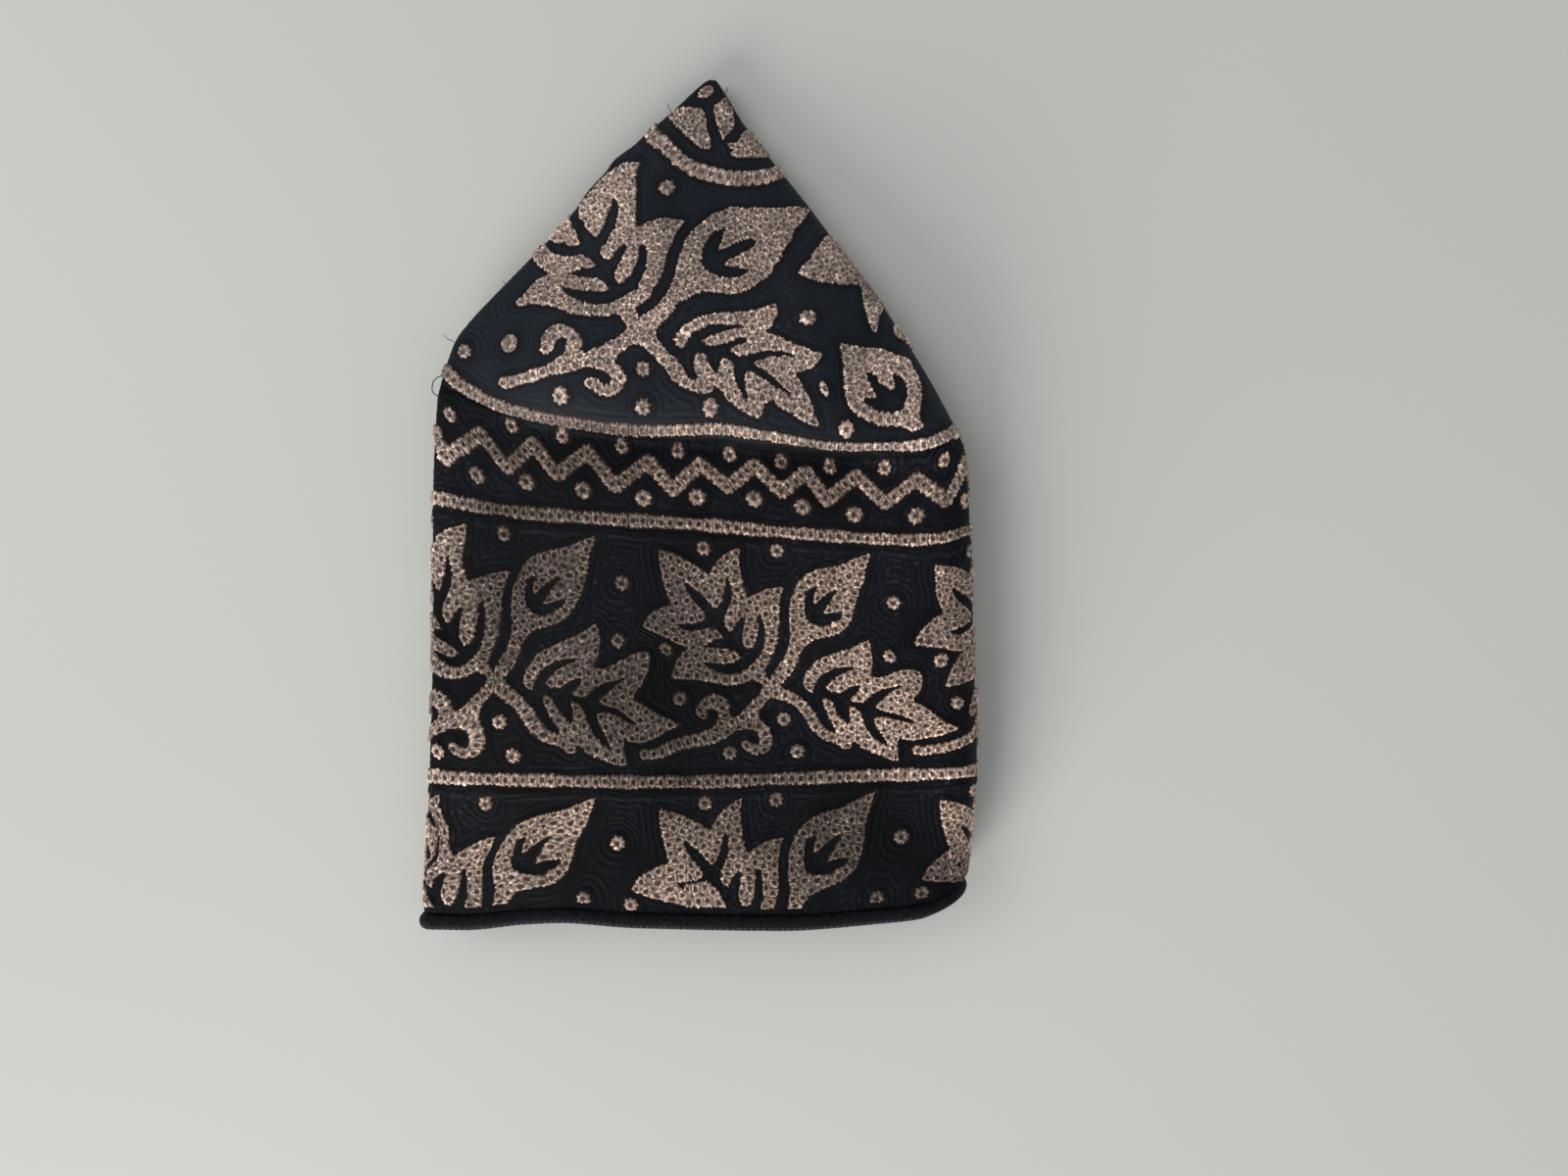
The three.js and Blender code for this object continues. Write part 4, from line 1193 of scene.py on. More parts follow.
def eyelets(name, seeds, reach, bordered, ex, ey, place, heights, rng, painted_shading=0.0):
    """Worked eyelets: a dark hole in a ring of raised thread, toothed where the motif ends.

    Each spoke of thread is a little higher or lower, and lighter or darker, partly as painted highlight and
    shade."""
    n, k = reach.shape
    spoke = np.clip(rng.normal(0, 1, (n, k)), -1.8, 1.8)
    other = np.clip(rng.normal(0, 1, (n, k)), -1.8, 1.8)
    own = rng.normal(0, 0.05, (n, 1))
    tooth = np.where(np.arange(k) % 2 == 0, *TEETH) + 0.06 * spoke
    edge = np.where(bordered, reach * tooth, reach)
    near = np.minimum(reach, HOLE_REACH)
    wide = rng.uniform(0.8, 1.2, (n, 1))
    rings = [near * LIP * wide, near * CREST, edge * SHOULDER, edge]
    tall = [heights[1] + 0.04 * spoke, heights[2] + own + 0.09 * spoke, heights[3] + own + 0.09 * other,
            np.where(bordered, heights[5], heights[4] + 0.05 * other)]
    shade = [0.5 + 0.12 * spoke, 0.5 + 0.2 * spoke, 0.5 + 0.2 * other, 0.48 + 0.12 * spoke]
    points = [place(seeds[:, 0], seeds[:, 1], np.full(n, heights[0]))[:, None]]
    values = [rng.uniform(0.35, 0.65, (n, 1))]
    for r, h, light in zip(rings, tall, shade):
        points.append(place(seeds[:, :1] + ex * r, seeds[:, 1:] + ey * r, h))
        # The last argument lowers the spokes' values as painted shade; below zero it raises them as painted
        # light.
        values.append(light + own - painted_shading)
    points, values = np.concatenate(points, 1), np.concatenate(values, 1)
    per = 1 + 4 * k
    ids = np.arange(n)[:, None] * per
    i = np.arange(k)
    j = (i + 1) % k
    fan = np.stack([ids + 0 * i, ids + 1 + i, ids + 1 + j], -1).reshape(-1, 3)
    quads = []
    turn = rng.uniform(0, 50, (n, 1))
    u0, u1 = turn + i / k, turn + (i + 1) / k
    levels = [u0 * 0 + share for share in EYELET_TEXTURE]

    def corners(*pairs):
        return np.stack([np.stack(pair, -1) for pair in pairs], 2).reshape(-1, 2)

    uv = [corners(((u0 + u1) / 2, levels[0]), (u0, levels[1]), (u1, levels[1]))]
    for r in range(3):
        a, b = ids + 1 + r * k, ids + 1 + (r + 1) * k
        quads.append(np.stack([a + i, b + i, b + j, a + j], -1).reshape(-1, 4))
        lo, hi = levels[r + 1], levels[r + 2]
        uv.append(corners((u0, lo), (u0, hi), (u1, hi), (u1, lo)))
    uv = np.concatenate(uv)
    faces = [fan, np.concatenate(quads)]
    return make_mesh(name, points.reshape(-1, 3), faces, uv, {"thread": values.ravel()})


def chosen(mask, seeds, *spokes, every=1):
    """The eyelets of a mask, with all their spokes or every so many."""
    return seeds[mask], *[part[mask][:, ::every] for part in spokes]


def on_crown(layer):
    """A function that puts crown eyelets on layer 1, the top, or 2, the underside."""

    def place(x, y, height):
        v, t = unplan(x, y)
        return cloth(v, t, layer, height)

    return place


# The crown, on its upper side round both folds and on its underside.
worked = crown_all, *outlines(crown, crown_all, rng)
v, t = unplan(*crown_all.T)
row = np.maximum(v, TIP_ROW)
w, _, fold_at, arc = widths(row)
seen = (t < fold_at + arc * CROWN_OUTER_STOP / w) & (v > CROWN_FIRST_ROW[0])
seen &= left_turn(row, t, 1) < CROWN_LEFT_STOP[0]
# The crown's upper eyelets carry the rim's painted shade and the crown's painted pool of light.
embroidery = [eyelets("crown_embroidery_upper", *chosen(seen, *worked), on_crown(1), TOP_HEIGHTS, rng,
                      crown_painted_shading[seen])]
seen = (t < fold_at) & (v > CROWN_FIRST_ROW[1]) & (left_turn(row, t, 2) < CROWN_LEFT_STOP[1])
embroidery.append(eyelets("crown_embroidery_lower", *chosen(seen, *worked, every=2), on_crown(2),
                          UNDER_HEIGHTS, rng))


def band_ends(v):
    """Where the side band's embroidery starts on the upper left fold, passes the end of the outer fold
    and stops on the lower left fold, as cloth coordinates."""
    left, across = band_span(v)
    w, _, fold_at, arc = widths(v)
    upper, lower = [left_reach(v, layer) - stop * math.pi * (left_reach(v, layer) + WALL_HALF)
                    for layer, stop in ((1, BAND_LEFT_STOP[0]), (2, BAND_LEFT_STOP[1]))]
    turn = left + across * (fold_at + arc / w)
    return left + across * upper / w, turn, turn + across * (fold_at - lower / w)


def embroider_band(label, seeds, spokes, repeats, place, to_cloth):
    """A row of the side band's embroidery, all round, as an upper and a lower piece.

    place puts the row's own coordinates on the cloth at a height, to_cloth turns them into u and v."""
    upper, lower = [], []
    for repeat in repeats:
        moved = seeds + [repeat * REPEAT, 0]
        u, v = to_cloth(moved[:, 0], moved[:, 1])
        first, turn, last = band_ends(v)
        upper.append(chosen((u > first) & (u <= turn), moved, *spokes))
        lower.append(chosen((u > turn) & (u < last), moved, *spokes, every=2))
    for parts, side, heights in ((upper, "upper", TOP_HEIGHTS), (lower, "lower", UNDER_HEIGHTS)):
        merged = [np.concatenate(part) for part in zip(*parts)]
        embroidery.append(eyelets(f"{label}_{side}", *merged, place, heights, rng))


spokes = outlines(tile, tile_all, rng)
is_upper_row = tile_all[:, 1] < EDGE_ROW_START
for mask, label in ((is_upper_row, "band_embroidery_main"), (~is_upper_row, "band_embroidery_edge")):
    seeds, *own = chosen(mask, tile_all, *spokes)
    embroider_band(label, seeds, own, BAND_REPEATS, worked_band, by_hand)
embroider_band("band_embroidery_zigzag", zigzag_all, outlines(zigzag, zigzag_all, rng), [0], zigzag_cloth,
               lambda u, drop: (u, row_at(drop, u)))


def band_distance(u, v):
    """Signed distance to the side band's embroidery, from the zigzag's field or the repeat's."""
    lower = tile.at(*from_hand(u, v))
    upper = zigzag.at(u, drop_of(v, u))
    return np.where(v < ZIGZAG_ROW_END, upper, lower)


def relief(d, v):
    """Height of the quilted ground: raised pads under the motifs, echo lines round them, two ridges."""
    out = np.clip(-d - ECHO_START, 0, None)
    echo = 0.5 + 0.5 * np.cos(2 * math.pi * (out - ECHO_SHIFT * ECHO_PITCH) / ECHO_PITCH)
    ridge = sum(np.exp(-((v - row) / RIDGE_HALF) ** 2) for row in RIDGE_ROWS)
    return PAD_HEIGHT * smooth(*PAD_EDGE, d) + ECHO_HEIGHT * echo * smooth(*ECHO_EDGE, out) \
        + RIDGE_HEIGHT * ridge * (d < 0)


def sweep(row, count):
    """Shares of the upper layer on each row, from under its left fold round the outer fold."""
    w, _, fold_at, arc = widths(row)
    reach = left_reach(row, 1)
    first = (reach - math.pi * (reach + WALL_HALF)) / w
    return first + (fold_at + arc / w - first) * np.linspace(0, 1, count)[None]


def loop_rest(row, height):
    """Points of each row on the loop's other segments, at a height over the cloth's middle."""
    loop = [(seg, i / n) for seg, n in REST_STEPS for i in range(1, n + (seg != BACK_UPPER))]
    seg, a = np.array([seg for seg, _ in loop]), np.array([a for _, a in loop])
    row = np.broadcast_to(row, (len(row), len(seg)))
    e = 0.004
    along = middle(seg, np.minimum(1, a + e), row) - middle(seg, np.maximum(0, a - e), row)
    before, after = np.maximum(row - 0.8, TIP_ROW), np.minimum(row + 0.8, HEM_END)
    down = middle(seg, a, after) - middle(seg, a, before)
    return middle(seg, a, row) + unit(np.cross(down, along)) * height


def loop_points(rows, distance=None):
    """Points of the whole loop on each row and their distance to the embroidery, on the outer side
    with a distance function, and otherwise on the plain inner side."""
    v = rows[:, None]
    row = np.maximum(v, TIP_ROW)
    t = sweep(row, AROUND)
    v = v + 0 * t
    d = distance(v, t) if distance else np.full(t.shape, FAR)
    rest_height = GROUND if distance else -WALL_HALF * LINING
    top = cloth(v, t, 1, GROUND + relief(d, v) if distance else rest_height)
    rest = loop_rest(row, rest_height)
    rest = taper(rest, np.broadcast_to(rows[:, None], rest.shape[:2]))
    return np.concatenate([top, rest], 1), np.concatenate([d, np.full(rest.shape[:2], FAR)], 1)


def strips(rows, count, first=0, flip=False):
    """Quads between rows of points that close round, from the point numbered first on."""
    i = np.arange(count)
    j = (i + 1) % count
    base = first + np.arange(rows - 1)[:, None] * count
    a, b = base + i, base + j
    quad = [a, a + count, b + count, b]
    if flip:
        quad = quad[::-1]
    return np.stack(quad, -1).reshape(-1, 4)


def tube(name, rows, lining_rows, distance, tip=False):
    """Cloth all round the loop, with an outer and an inner skin that meet at its ends or in a tip."""
    outer, d = loop_points(rows, distance)
    inner, _ = loop_points(lining_rows)
    n = outer.shape[1]
    points = np.concatenate([outer.reshape(-1, 3), inner.reshape(-1, 3)])
    i = np.arange(n)
    j = (i + 1) % n
    lining = len(rows) * n
    last = lining - n
    end = len(points) - n
    quads = [strips(len(rows), n), strips(len(lining_rows), n, lining, True),
             np.stack([last + i, end + i, end + j, last + j], -1)]
    triangles = []
    v_at = np.concatenate([np.repeat(rows, n), np.repeat(lining_rows, n)])
    u_at = np.tile(np.arange(n) * POINT_PITCH, len(rows) + len(lining_rows))
    if tip:
        top = len(points)
        points = np.concatenate([points, TIP_POINT[None], inner[0].mean(0)[None]])
        triangles = [np.stack([0 * i + top, i, j], -1),
                     np.stack([0 * i + top + 1, lining + j, lining + i], -1)]
        v_at = np.concatenate([v_at, [0, TIP_ROW]])
        u_at = np.concatenate([u_at, [0, 0]])
    else:
        quads.append(np.stack([i, j, lining + j, lining + i], -1))
    faces = [np.concatenate(kind) for kind in (quads, triangles) if kind]
    loops = np.concatenate([f.ravel() for f in faces])
    uv = np.stack([u_at[loops], v_at[loops]], -1)
    value = np.full(len(points), FAR)
    value[:d.size] = d.ravel()
    return make_mesh(name, points, faces, uv, {"pattern": value})


def crown_distance(v, t):
    """Signed distance to the crown's embroidery."""
    return crown.at(*plan(v, t))


def band_share_distance(v, t):
    """Signed distance to the side band's embroidery, by the share of the folded width."""
    left, across = band_span(v)
    return band_distance(left + across * t, v)


seam_above, seam_below = CROWN_SLANT - SEAM_GAP / 2, CROWN_SLANT + SEAM_GAP / 2
crown_rows = np.concatenate([CROWN_TIP_ROWS, np.linspace(CROWN_EVEN_START, seam_above, CROWN_ROWS)])
crown_cloth = tube("crown_cloth", crown_rows, np.linspace(TIP_ROW, seam_above, CROWN_LINING_ROWS),
                   crown_distance, True)
band_cloth_piece = tube("band_cloth", np.linspace(seam_below, HEM_TOP - SEAM_GAP, BAND_ROWS),
                        np.linspace(seam_below, HEM_TOP - SEAM_GAP, BAND_LINING_ROWS), band_share_distance)


def hem_loop(v, height):
    """Points of the whole loop on one row of the hem, at a height over the cloth's middle."""
    v = np.array([[v]])
    t = sweep(v, HEM_AROUND)
    turn = np.arange(HEM_AROUND) * HEM_POINT_PITCH * math.pi / HEM_LUMP_PITCH
    lump = HEM_LUMP * np.abs(np.sin(turn)) * np.sign(height)
    top = cloth(v + 0 * t, t, 1, height + lump[None])
    return np.concatenate([top, loop_rest(v, height)], 1)[0]


def hem_roll():
    """The rolled edge of the mouth, closed round its section, with its wrapping stitches."""
    centre, half = (HEM_TOP + HEM_END) / 2, (HEM_END - HEM_TOP) / 2
    rings = []
    for n in range(HEM_SIDES):
        angle = 2 * math.pi * (n + 0.5) / HEM_SIDES
        rings.append(hem_loop(centre - half * math.cos(angle), HEM_THICK / 2 * math.sin(angle)))
    count = len(rings[0])
    faces = strips(HEM_SIDES + 1, count) % (HEM_SIDES * count)
    loops = faces.ravel()
    length = np.concatenate([[0], np.cumsum(np.linalg.norm(np.diff(rings[0], axis=0), axis=1))])
    uv = np.stack([length[loops % count], (loops // count) * HEM_SIDE_PITCH], -1)
    return make_mesh("hem_roll", np.concatenate(rings), [faces], uv)


hem_piece = hem_roll()


def sight(points, z):
    """Places at a height where chart points lie in the picture."""
    k = (CAMERA[2] - z) / PIXELS_PER_RADIAN
    x = CAMERA[0] + (points[:, 0] - PICTURE_CENTRE[0]) * k
    y = CAMERA[1] + (PICTURE_CENTRE[1] - points[:, 1]) * k
    return np.stack([x, y, np.broadcast_to(z, x.shape)], -1)


def strand(points, radius, first):
    """Points and faces of a round thread through places, thin at its ends."""
    fine = np.linspace(0, len(points) - 1, 6 * len(points))
    line = np.stack([curve(list(enumerate(points[:, i])))(fine) for i in range(3)], -1)
    way = np.gradient(line, axis=0)
    side = unit(np.cross(way, [0.3, 0.2, 1.0]))
    up = unit(np.cross(side, way))
    angle = np.arange(THREAD_SIDES)[:, None] * math.pi / 3
    size = radius * np.sqrt(np.clip(np.minimum(fine, fine[-1] - fine) * 4, 0.02, 1))[:, None, None]
    rings = line[:, None] + size * (side[:, None] * np.cos(angle) + up[:, None] * np.sin(angle))
    return rings.reshape(-1, 3), strips(len(line), THREAD_SIDES, first)


# Loose threads: their way in the picture, their heights in millimetres and the thread's radius.
LOOSE_THREADS = [
    ("451,383 446,385.5 441.5,391 441,398 444,402.5 449,405", (12, 12.6, 13, 12.8, 12, 11), 0.13),
    ("686,115 683.5,112 681.5,108 683,105", (4, 4.4, 4.8, 5), 0.08),
    ("736,98 739,96 741.5,92.5 742,89", (5, 5.6, 6, 6.2), 0.1),
    ("466,352 462,348 457,346 453,341", (8, 8.4, 9, 9.4), 0.08),
    ("520,292 516,290 513,286", (8, 8.6, 9.2), 0.08),
    ("985,872 989,873 992,870.5", (16, 17, 18), 0.08),
    ("707,785 705,789 702,794 699.5,799 698.5,803", (21.4, 22.2, 22.4, 22.2, 21.4), 0.1),
]


def loose_threads():
    """All loose threads as one mesh."""
    points, faces, count = [], [], 0
    for way, heights, radius in LOOSE_THREADS:
        p, f = strand(sight(chart(way), np.array(heights)), radius, count)
        points.append(p)
        faces.append(f)
        count += len(p)
    return make_mesh("loose_threads", np.concatenate(points), [np.concatenate(faces)])


threads_piece = loose_threads()


def linear(r, g, b):
    """A material colour from screen values of 0 to 255."""
    parts = [c / 255 for c in (r, g, b)]
    return tuple(c / 12.92 if c <= 0.04045 else ((c + 0.055) / 1.055) ** 2.4 for c in parts) + (1.0,)


BLACK, WHITE = (0, 0, 0, 1), (1, 1, 1, 1)


class Finish:
    """Short calls for building a node material."""

    def __init__(self, name, roughness, specular):
        self.material = bpy.data.materials.new(name)
        self.material.use_nodes = True
        self.tree = self.material.node_tree
        self.shader = self.tree.nodes["Principled BSDF"]
        self.shader.inputs["Roughness"].default_value = roughness
        self.shader.inputs["Specular IOR Level"].default_value = specular

    def node(self, kind, **inputs):
        """A node of a kind with its inputs set or linked."""
        made = self.tree.nodes.new(kind)
        for key, value in inputs.items():
            self.put(value, made.inputs[key.replace("_", " ")])
        return made

    def put(self, value, socket):
        """Links a socket to an input, or sets the input to a value."""
        if isinstance(value, bpy.types.NodeSocket):
            self.tree.links.new(value, socket)
        else:
            socket.default_value = value

    def math(self, operation, a, b=0.0, clamp=False):
        """The result of a math node."""
        made = self.tree.nodes.new("ShaderNodeMath")
        made.operation = operation
        made.use_clamp = clamp
        self.put(a, made.inputs[0])
        self.put(b, made.inputs[1])
        return made.outputs[0]

    def ramp(self, value, *stops):
        """A colour by a value, from stops of place and colour."""
        made = self.tree.nodes.new("ShaderNodeValToRGB")
        self.put(value, made.inputs[0])
        elements = made.color_ramp.elements
        while len(elements) < len(stops):
            elements.new(0.5)
        for element, (place, colour) in zip(elements, stops):
            element.position = place
            element.color = colour
        return made.outputs["Color"]

    def mix(self, factor, a, b, blend="MIX"):
        """Two colours mixed."""
        made = self.tree.nodes.new("ShaderNodeMix")
        made.data_type = "RGBA"
        made.blend_type = blend
        self.put(factor, made.inputs[0])
        self.put(a, made.inputs[6])
        self.put(b, made.inputs[7])
        return made.outputs[2]

    def tint(self, colour, value, *stops):
        """A colour made darker or lighter by a ramp of greys over a value."""
        grey = self.ramp(value, *[(place, (light, light, light, 1.0)) for place, light in stops])
        return self.mix(1.0, colour, grey, "MULTIPLY")

    def cloth_place(self):
        """Both parts of the texture coordinates."""
        layer = self.node("ShaderNodeUVMap")
        layer.uv_map = "cloth"
        return self.node("ShaderNodeSeparateXYZ", Vector=layer.outputs[0]).outputs[:2]

    def attribute(self, name):
        """A value that the mesh carries at its points."""
        found = self.node("ShaderNodeAttribute")
        found.attribute_name = name
        return found.outputs["Fac"]

    def place(self):
        """The place in the part's frame, in metres."""
        return self.node("ShaderNodeTexCoord").outputs["Object"]

    def noise(self, vector, scale, detail=2.0):
        """Soft noise over a vector."""
        made = self.node("ShaderNodeTexNoise", Vector=vector, Scale=scale, Detail=detail)
        return made.outputs["Fac"]

    def bump(self, height, distance, strength, below=None):
        """A bumped normal, over another one if there is one below."""
        made = self.node("ShaderNodeBump", Height=height, Distance=distance, Strength=strength)
        if below is not None:
            self.put(below, made.inputs["Normal"])
        return made.outputs["Normal"]


def painted_dent_light(f, place, start, end):
    """Painted light and shade on the side band across its dent, by ramps for the dent's upper left and lower
    right ends.
    """
    parts = f.node("ShaderNodeSeparateXYZ", Vector=place)
    x = f.math("SUBTRACT", f.math("MULTIPLY", parts.outputs[0], 1000.0), DENT_PLACE[0] + ROW_SHIFT[0])
    y = f.math("SUBTRACT", f.math("MULTIPLY", parts.outputs[1], 1000.0), DENT_PLACE[1] + ROW_SHIFT[1])
    across = f.math("ADD", f.math("MULTIPLY", x, DENT_WAY[0]), f.math("MULTIPLY", y, DENT_WAY[1]))
    along = f.math("SUBTRACT", f.math("MULTIPLY", x, DENT_WAY[1]), f.math("MULTIPLY", y, DENT_WAY[0]))
    across = f.math("DIVIDE", f.math("SUBTRACT", across, DENT_FROM), DENT_SPAN)
    along = f.math("DIVIDE", f.math("SUBTRACT", along, DENT_MIDDLE), DENT_CHANGE, True)
    light = f.mix(along, f.ramp(across, *start), f.ramp(across, *end))
    inside = f.math("DIVIDE", f.math("ADD", x, FOLD_EDGE), FOLD_FADE, True)
    return f.mix(inside, WHITE, light)


def thread_finish(name, hole, lip, start, end):
    """Worked thread, dark in the eyelets' holes, lighter and darker by spoke, strand and patch, with painted
    highlights on its strands and the dent's painted light and shade.
    """
    f = Finish(name, 0.55, 0.3)
    turn, out = f.cloth_place()
    spoke = f.attribute("thread")
    strands = f.node("ShaderNodeCombineXYZ", X=f.math("MULTIPLY", turn, 15.0), Y=f.math("MULTIPLY", out, 1.8))
    strand = f.noise(strands.outputs[0], 1.0, 2.0)
    place = f.place()
    patch = f.noise(place, 38.0, 3.0)
    tuft = f.noise(place, 1100.0, 1.0)
    crumb = f.noise(place, 2600.0, 2.0)
    colour = f.ramp(out, (0.0, linear(*hole)), (0.24, linear(*lip)), (0.42, linear(122, 102, 91)),
                    (0.62, linear(190, 168, 155)), (1.0, linear(156, 136, 125)))
    # Spokes, strands and tufts lighter and darker: partly the thread's own uneven tone, partly painted
    # highlights and shade on single strands.
    colour = f.tint(colour, spoke, (0.1, 0.34), (0.5, 0.8), (0.75, 1.5), (1.0, 2.3))
    colour = f.tint(colour, strand, (0.3, 0.5), (0.5, 0.9), (0.62, 1.4), (0.72, 1.9))
    colour = f.tint(colour, tuft, (0.3, 0.55), (0.5, 0.95), (0.7, 1.6))
    colour = f.tint(colour, patch, (0.3, 0.66), (0.5, 1.0), (0.7, 1.36))
    # Painted light and shade of the side band's dent, multiplied into the thread's colour.
    colour = f.mix(1.0, colour, painted_dent_light(f, place, start, end), "MULTIPLY")
    f.put(colour, f.shader.inputs["Base Color"])
    normal = f.bump(crumb, 0.0001, 0.6)
    normal = f.bump(tuft, 0.0003, 0.7, normal)
    f.put(f.bump(strand, 0.0003, 0.8, normal), f.shader.inputs["Normal"])
    return f.material


def ground_finish(name, deep, pale, specular, light):
    """Quilted cloth: echo lines round the motifs, by the distance to them, and a fringe of thread, with
    painted shade by the motifs and the seam, painted highlight specks and the dent's painted light.
    """
    f = Finish(name, 0.62, specular)
    d = f.attribute("pattern")
    place = f.place()
    weave = f.noise(place, 1900.0, 2.0)
    fleck = f.noise(place, 900.0, 3.0)
    patch = f.noise(place, 38.0, 3.0)
    out = f.math("MAXIMUM", f.math("SUBTRACT", f.math("MULTIPLY", d, -1.0), ECHO_START), 0.0)
    waver = f.math("MULTIPLY", f.noise(place, 160.0, 1.0), 1.1)
    turn = f.math("MULTIPLY", f.math("SUBTRACT", f.math("ADD", out, waver), 1.1), 2 * math.pi / ECHO_PITCH)
    echo = f.math("ADD", f.math("MULTIPLY", f.math("COSINE", turn), 0.5), 0.5)
    # Where along the echo lines the painted highlight specks show.
    echo_glint_share = f.math("MULTIPLY", echo, f.ramp(patch, (0.42, BLACK), (0.66, WHITE)))
    colour = f.ramp(patch, (0.3, linear(*deep)), (0.7, linear(*pale)))
    # Painted shadow: darker ground on both sides of the seam, under the overhanging rim.
    _, row = f.cloth_place()
    painted_rim_shadow = f.math("MULTIPLY", f.math("ABSOLUTE", f.math("SUBTRACT", row, CROWN_SLANT)), 0.25)
    colour = f.tint(colour, painted_rim_shadow, (0.4, 0.3), (1.0, 1.0))
    # Painted shade: darker ground close to the raised motifs, lighter further from them.
    colour = f.tint(colour, f.math("MULTIPLY", out, 0.25), (0.0, 0.6), (0.35, 1.0), (0.8, 1.25))
    # Painted highlights: lighter specks along the echo lines' stitched cord.
    painted_glint = f.ramp(fleck, (0.45, linear(17, 19, 24)), (0.62, linear(34, 37, 43)), (0.78, linear(70, 74, 82)))
    colour = f.mix(f.math("MULTIPLY", echo_glint_share, 0.8), colour, painted_glint)
    fringe = f.ramp(f.math("ADD", d, 1.0), (0.2, BLACK), (0.9, (0.3, 0.3, 0.3, 1)))
    colour = f.mix(fringe, colour, linear(44, 32, 29))
    colour = f.mix(f.ramp(d, (0.0, BLACK), (0.25, WHITE)), colour, linear(58, 44, 37))
    # Painted light and shade of the side band's dent, multiplied into the ground's colour.
    colour = f.mix(1.0, colour, painted_dent_light(f, place, light, light), "MULTIPLY")
    f.put(colour, f.shader.inputs["Base Color"])
    normal = f.bump(weave, 0.0001, 0.5)
    normal = f.bump(fleck, 0.00012, 0.4, normal)
    f.put(f.bump(echo, 0.00018, 0.7, normal), f.shader.inputs["Normal"])
    return f.material


def hem_finish():
    """Dark wrapped thread with a row of paler dashes."""
    f = Finish("hem_thread", 0.55, 0.1)
    along, around = f.cloth_place()
    lean = f.math("ADD", along, f.math("MULTIPLY", around, 0.35))
    wave = f.math("SINE", f.math("MULTIPLY", lean, 2 * math.pi / 0.9))
    fleck = f.noise(f.place(), 900.0, 3.0)
    colour = f.ramp(fleck, (0.35, linear(9, 11, 14)), (0.7, linear(24, 28, 33)))
    dash = f.math("SINE", f.math("MULTIPLY", along, 2 * math.pi / 1.55))
    line = f.math("SUBTRACT", 1.0, f.math("ABSOLUTE", f.math("SUBTRACT", around, 3.6)), True)
    stitch = f.ramp(f.math("MULTIPLY", dash, line), (0.2, BLACK), (0.6, (0.7, 0.7, 0.7, 1)))
    colour = f.mix(stitch, colour, linear(66, 76, 82))
    f.put(colour, f.shader.inputs["Base Color"])
    normal = f.bump(fleck, 0.00015, 0.5)
    f.put(f.bump(wave, 0.00016, 0.7, normal), f.shader.inputs["Normal"])
    return f.material


def floor_finish():
    """A pale floor, faintly clouded."""
    f = Finish("pale_floor", 0.5, 0.3)
    cloud = f.noise(f.place(), 2.0, 2.0)
    colour = f.ramp(cloud, (0.3, linear(204, 204, 198)), (0.7, linear(210, 210, 204)))
    f.put(colour, f.shader.inputs["Base Color"])
    return f.material


# Painted light and shade over the dent by picture pixels across it: on the side band's thread, at the
# dent's upper left and its lower right end, on the band's ground, and nearly even on the crown's ground and
# thread.
DENT_PIXELS = (-200, 260)
START_LIGHT = [(-190, 0.95), (-160, 1.2), (-128, 1.05), (-110, 0.75), (-90, 0.48), (-65, 0.36),
               (-40, 0.28), (0, 0.25), (50, 0.27), (90, 0.38), (130, 0.48), (160, 0.6), (190, 0.75),
               (220, 0.72), (250, 0.85)]
END_LIGHT = [(-190, 0.95), (-160, 1.25), (-128, 1.1), (-95, 0.75), (-70, 0.55), (-40, 0.42),
             (-10, 0.3), (20, 0.3), (50, 0.38), (79, 0.8), (108, 1.15), (137, 1.45), (166, 1.25),
             (200, 0.95), (250, 0.9)]
GROUND_LIGHT = [(-154, 1.0), (-62, 0.8), (48, 0.8), (122, 1.25), (260, 1.3)]
EVEN_LIGHT = [(DENT_PIXELS[0], 1.0), (DENT_PIXELS[1], 1.0)]
CROWN_LIGHT = [(DENT_PIXELS[0], 1.1), (DENT_PIXELS[1], 1.14)]
# The side band's thread is a little warmer than white, by its red and its blue.
WARMTH = (1.04, 0.95)


def stops(lights, red=1.0, blue=1.0):
    """Ramp stops from a table of place across the dent, in picture pixels, and light."""
    first, last = DENT_PIXELS
    return [((place - first) / (last - first), (light * red, light, light * blue, 1.0))
            for place, light in lights]


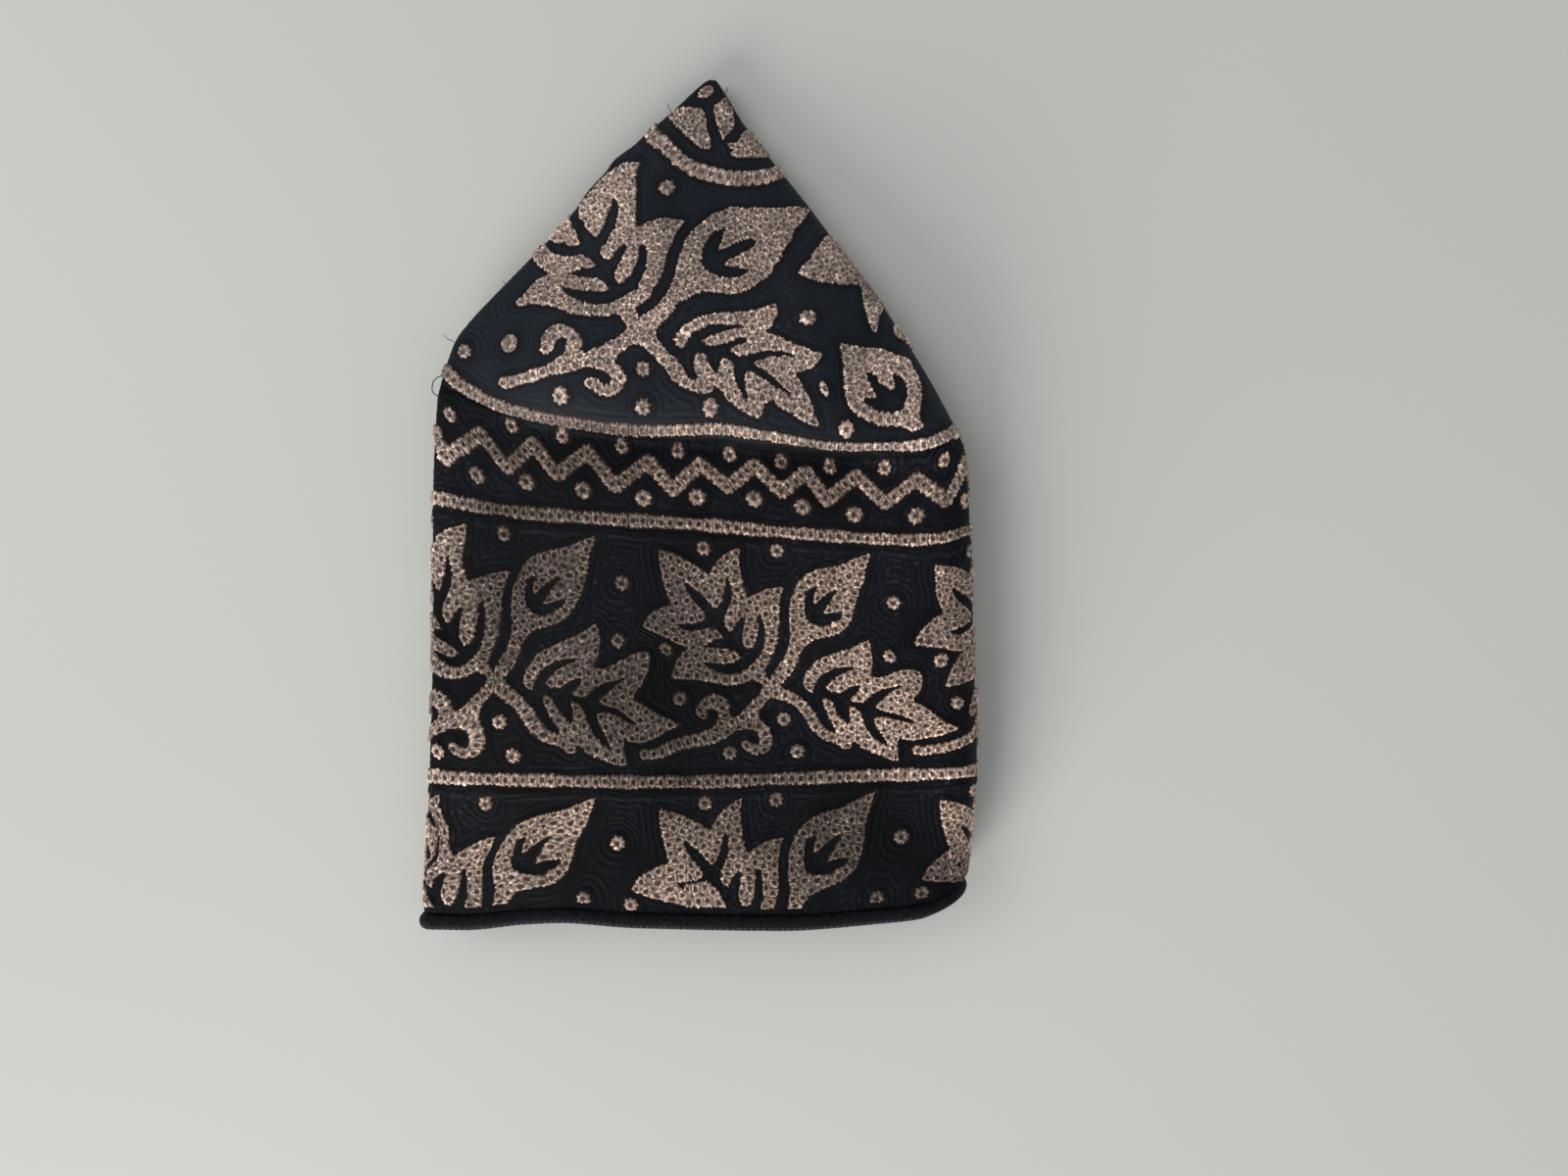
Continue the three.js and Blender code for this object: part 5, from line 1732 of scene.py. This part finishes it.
crown_light = stops(CROWN_LIGHT)
crown_thread = thread_finish("crown_thread", (162, 130, 115), (150, 124, 111), crown_light, crown_light)
band_thread = thread_finish("band_thread", (118, 93, 81), (112, 89, 79),
                            stops(START_LIGHT, *WARMTH), stops(END_LIGHT, *WARMTH))
hem_look = hem_finish()
crown_ground = ground_finish("crown_ground", (22, 26, 31), (33, 38, 44), 0.12, stops(EVEN_LIGHT))
band_ground = ground_finish("band_ground", (9, 10, 13), (14, 16, 21), 0.08, stops(GROUND_LIGHT))
for piece in embroidery:
    piece.data.materials.append(crown_thread if piece.name.startswith("crown") else band_thread)
    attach(piece, "root")
for piece, node, look, slot in ((crown_cloth, "crown", crown_ground, "dark_cloth"),
                                (band_cloth_piece, "side_band", band_ground, "dark_cloth"),
                                (hem_piece, "hem", hem_look, "hem_cloth")):
    piece.data.materials.append(look)
    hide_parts(node)
    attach(piece, "root")

threads_piece.data.materials.append(hem_look)
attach(threads_piece, "root")

# Floor, light and camera.
floor_mesh = bpy.data.meshes.new("floor")
floor_mesh.from_pydata([(-3, -3, 0), (3, -3, 0), (3, 3, 0), (-3, 3, 0)], [], [(0, 1, 2, 3)])
floor = add_object("floor", floor_mesh)
floor_mesh.materials.append(floor_finish())

world = bpy.data.worlds.new("room")
bpy.context.scene.world = world
world.use_nodes = True
world.node_tree.nodes["Background"].inputs[0].default_value = linear(218, 222, 226)
world.node_tree.nodes["Background"].inputs[1].default_value = 0.6


def panel(name, place, size, power, colour):
    """A round soft light that shines on the cap."""
    lamp = bpy.data.lights.new(name, "AREA")
    lamp.shape = "DISK"
    lamp.size = size
    lamp.energy = power
    lamp.color = colour
    stand = add_object(name, lamp)
    stand.location = place
    stand.rotation_mode = "QUATERNION"
    stand.rotation_quaternion = (-Vector(place)).to_track_quat("-Z", "Y")


panel("window", (-0.95, -1.7, 0.64), 1.2, 42.0, (1.0, 0.99, 0.97))
panel("side", (-1.5, 0.4, 1.7), 1.6, 13.5, (0.99, 1.0, 1.0))

lens = bpy.data.cameras.new("camera")
lens.sensor_fit = "HORIZONTAL"
lens.sensor_width = 36.0
lens.lens = lens.sensor_width * PIXELS_PER_RADIAN / PICTURE_WIDTH
lens.clip_start = 0.01
camera = add_object("camera", lens)
camera.location = [float(c) * 0.001 for c in CAMERA + ROW_SHIFT]
bpy.context.scene.camera = camera
bpy.context.scene.view_settings.view_transform = "Standard"
